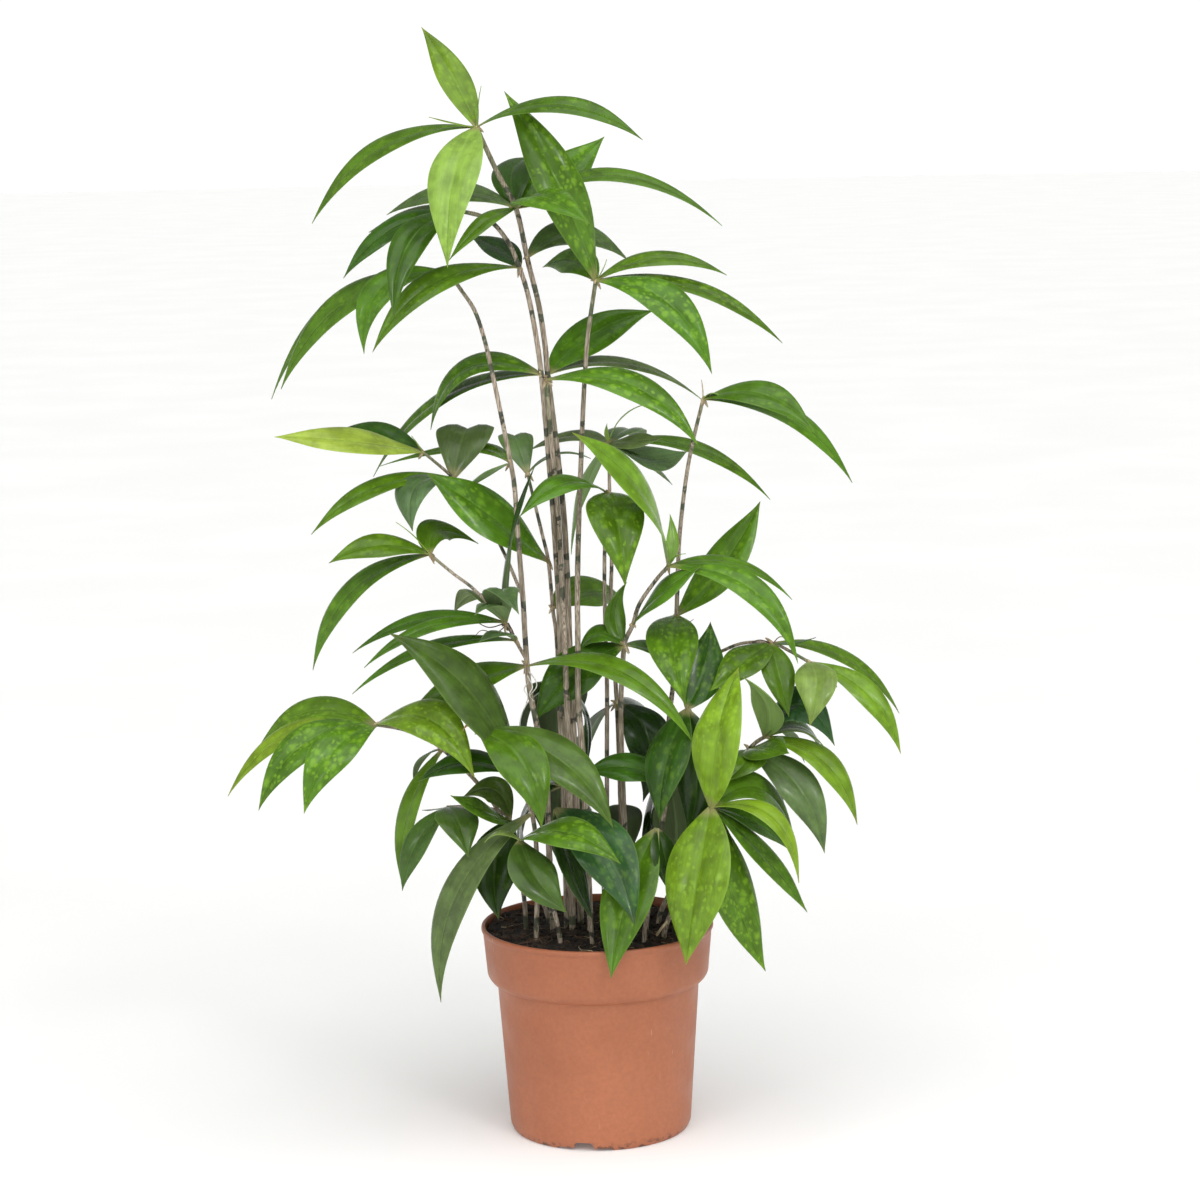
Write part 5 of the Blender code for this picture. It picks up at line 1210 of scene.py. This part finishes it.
def build_roots(white, brown):
    """Aerial roots: a few white curls on the left cane, dark wiry ones at the whorls beside it."""
    pale, dark = Tubes(), Tubes()
    for route in (
        [(-4.6, 34.0, 1.7), (-4.2, 33.5, 2.0), (-4.05, 32.9, 2.1), (-4.5, 32.3, 2.0), (-4.85, 31.7, 1.9)],
        [(-4.7, 33.7, 1.7), (-4.35, 32.9, 2.1), (-4.6, 32.3, 2.2), (-4.25, 31.8, 2.1)],
        [(-4.65, 33.2, 1.7), (-4.95, 32.7, 2.0), (-4.7, 32.1, 2.1), (-5.0, 31.2, 2.0)],
    ):
        path = smooth_path([seen(*p) for p in route], 6)
        pale.add(path, lambda share, run: 0.055 * CM * (1 - 0.6 * share), 6)
    for route in (
        [(-6.2, 37.6, 2.5), (-7.4, 37.3, 2.9), (-8.6, 37.8, 2.9), (-9.9, 37.5, 2.6)],
        [(-6.2, 37.4, 2.5), (-6.9, 36.9, 3.1), (-7.9, 37.1, 3.3), (-8.4, 36.7, 3.3)],
        [(-6.0, 37.6, 2.5), (-5.6, 36.8, 3.0), (-5.5, 36.2, 3.0)],
        [(6.0, 36.9, -3.4), (5.4, 36.4, -2.9), (4.9, 36.6, -2.7)],
        [(6.15, 37.9, -3.2), (6.7, 37.3, -2.8), (7.4, 37.6, -2.6)],
        [(13.0, 35.7, 0.1), (12.2, 36.0, 0.5), (11.3, 35.8, 0.8)],
        [(13.1, 35.7, 0.1), (13.6, 36.2, 0.4), (14.4, 36.0, 0.6)],
    ):
        path = smooth_path([seen(*p) for p in route], 6)
        dark.add(path, lambda share, run: 0.05 * CM * (1 - 0.6 * share), 6)
    for tubes, name, look in ((pale, "aerial_roots_white", white), (dark, "aerial_roots_brown", brown)):
        piece = tubes.build(name, look)
        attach(piece, "root")


def build_stage():
    bm = bmesh.new()
    bmesh.ops.create_circle(bm, cap_ends=True, segments=96, radius=FLOOR_RADIUS)
    mesh = mesh_from("floor", bm)
    mesh.materials.append(floor_material())
    floor = linked("floor", mesh)


def build_softbox(name, place, aim, size, watts, shine):
    data = bpy.data.lights.new(name, "AREA")
    data.shape = "RECTANGLE"
    data.size, data.size_y = size
    data.energy = watts
    data.specular_factor = shine
    light = linked(name, data)
    light.location = place
    light.rotation_euler = (Vector(aim) - Vector(place)).to_track_quat("-Z", "Y").to_euler()


def build_sun(name, towards, strength, angle, shine):
    data = bpy.data.lights.new(name, "SUN")
    data.specular_factor = shine
    data.energy = strength
    data.angle = math.radians(angle)
    linked(name, data).rotation_euler = Vector(towards).to_track_quat("Z", "Y").to_euler()


def build_studio():
    """A white room, bright towards the horizon and dimmer overhead, with a soft key and a weak fill."""
    world = bpy.data.worlds.new("studio")
    world.use_nodes = True
    tree = world.node_tree
    place = tree.nodes.new("ShaderNodeTexCoord")
    split = tree.nodes.new("ShaderNodeSeparateXYZ")
    fade = tree.nodes.new("ShaderNodeMapRange")
    for name, value in (("From Min", 0.08), ("From Max", 0.3), ("To Min", 1.05), ("To Max", 0.34)):
        fade.inputs[name].default_value = value
    tree.links.new(place.outputs["Generated"], split.inputs[0])
    tree.links.new(split.outputs[2], fade.inputs["Value"])
    tree.links.new(fade.outputs[0], tree.nodes["Background"].inputs["Strength"])
    tree.nodes["Background"].inputs["Color"].default_value = rgb(1, 1, 1)
    bpy.context.scene.world = world
    build_sun("key", (0.3, -0.7, 1.3), *KEY_SUN)
    build_sun("fill", (-0.9, -0.9, 0.5), *FILL_SUN)
    build_softbox("softbox_right", (1.2, -2.0, 1.9), (0.05, 0, 0.3), (0.5, 0.35), *SOFTBOX_RIGHT)
    build_softbox("softbox_left", (-1.4, -2.0, 1.5), (-0.05, 0, 0.3), (0.4, 0.3), *SOFTBOX_LEFT)
    bpy.context.scene.view_settings.view_transform = "Standard"


def build_camera():
    data = bpy.data.cameras.new("camera")
    data.sensor_width = SENSOR_MM
    data.lens = SENSOR_MM * FOCAL_PIXELS / PHOTO_PIXELS
    camera = linked("camera", data)
    pitch, roll = math.radians(EYE_PITCH), math.radians(EYE_ROLL)
    ahead = Vector((0, math.cos(pitch), -math.sin(pitch)))
    right = Vector((1, 0, 0))
    up = right.cross(ahead)
    rolled_right = right * math.cos(roll) - up * math.sin(roll)
    rolled_up = right * math.sin(roll) + up * math.cos(roll)
    turn = Matrix((rolled_right, rolled_up, -ahead)).transposed().to_4x4()
    camera.matrix_world = Matrix.Translation(AXIS + Vector((EYE_SIDE, -EYE_BACK, EYE_HEIGHT)) * CM) @ turn
    bpy.context.scene.camera = camera


def main():
    build_camera()
    build_studio()
    build_stage()
    leaf_look = leaf_material()
    cane_look = cane_material()
    tan = fibre_material("tan_sheath", (0.24, 0.17, 0.09), (0.5, 0.4, 0.25))
    brown = fibre_material("brown_root", (0.05, 0.028, 0.015), (0.13, 0.07, 0.035))
    white = fibre_material("white_root", (0.5, 0.48, 0.42), (0.72, 0.7, 0.64))
    for name, stem in STEMS.items():
        build_stem(name, stem, leaf_look, cane_look)
    build_bracts(tan)
    build_roots(white, brown)
    build_pot(pot_material())
    peat = peat_material()
    build_soil(peat)
    build_fibres(brown, tan)


main()
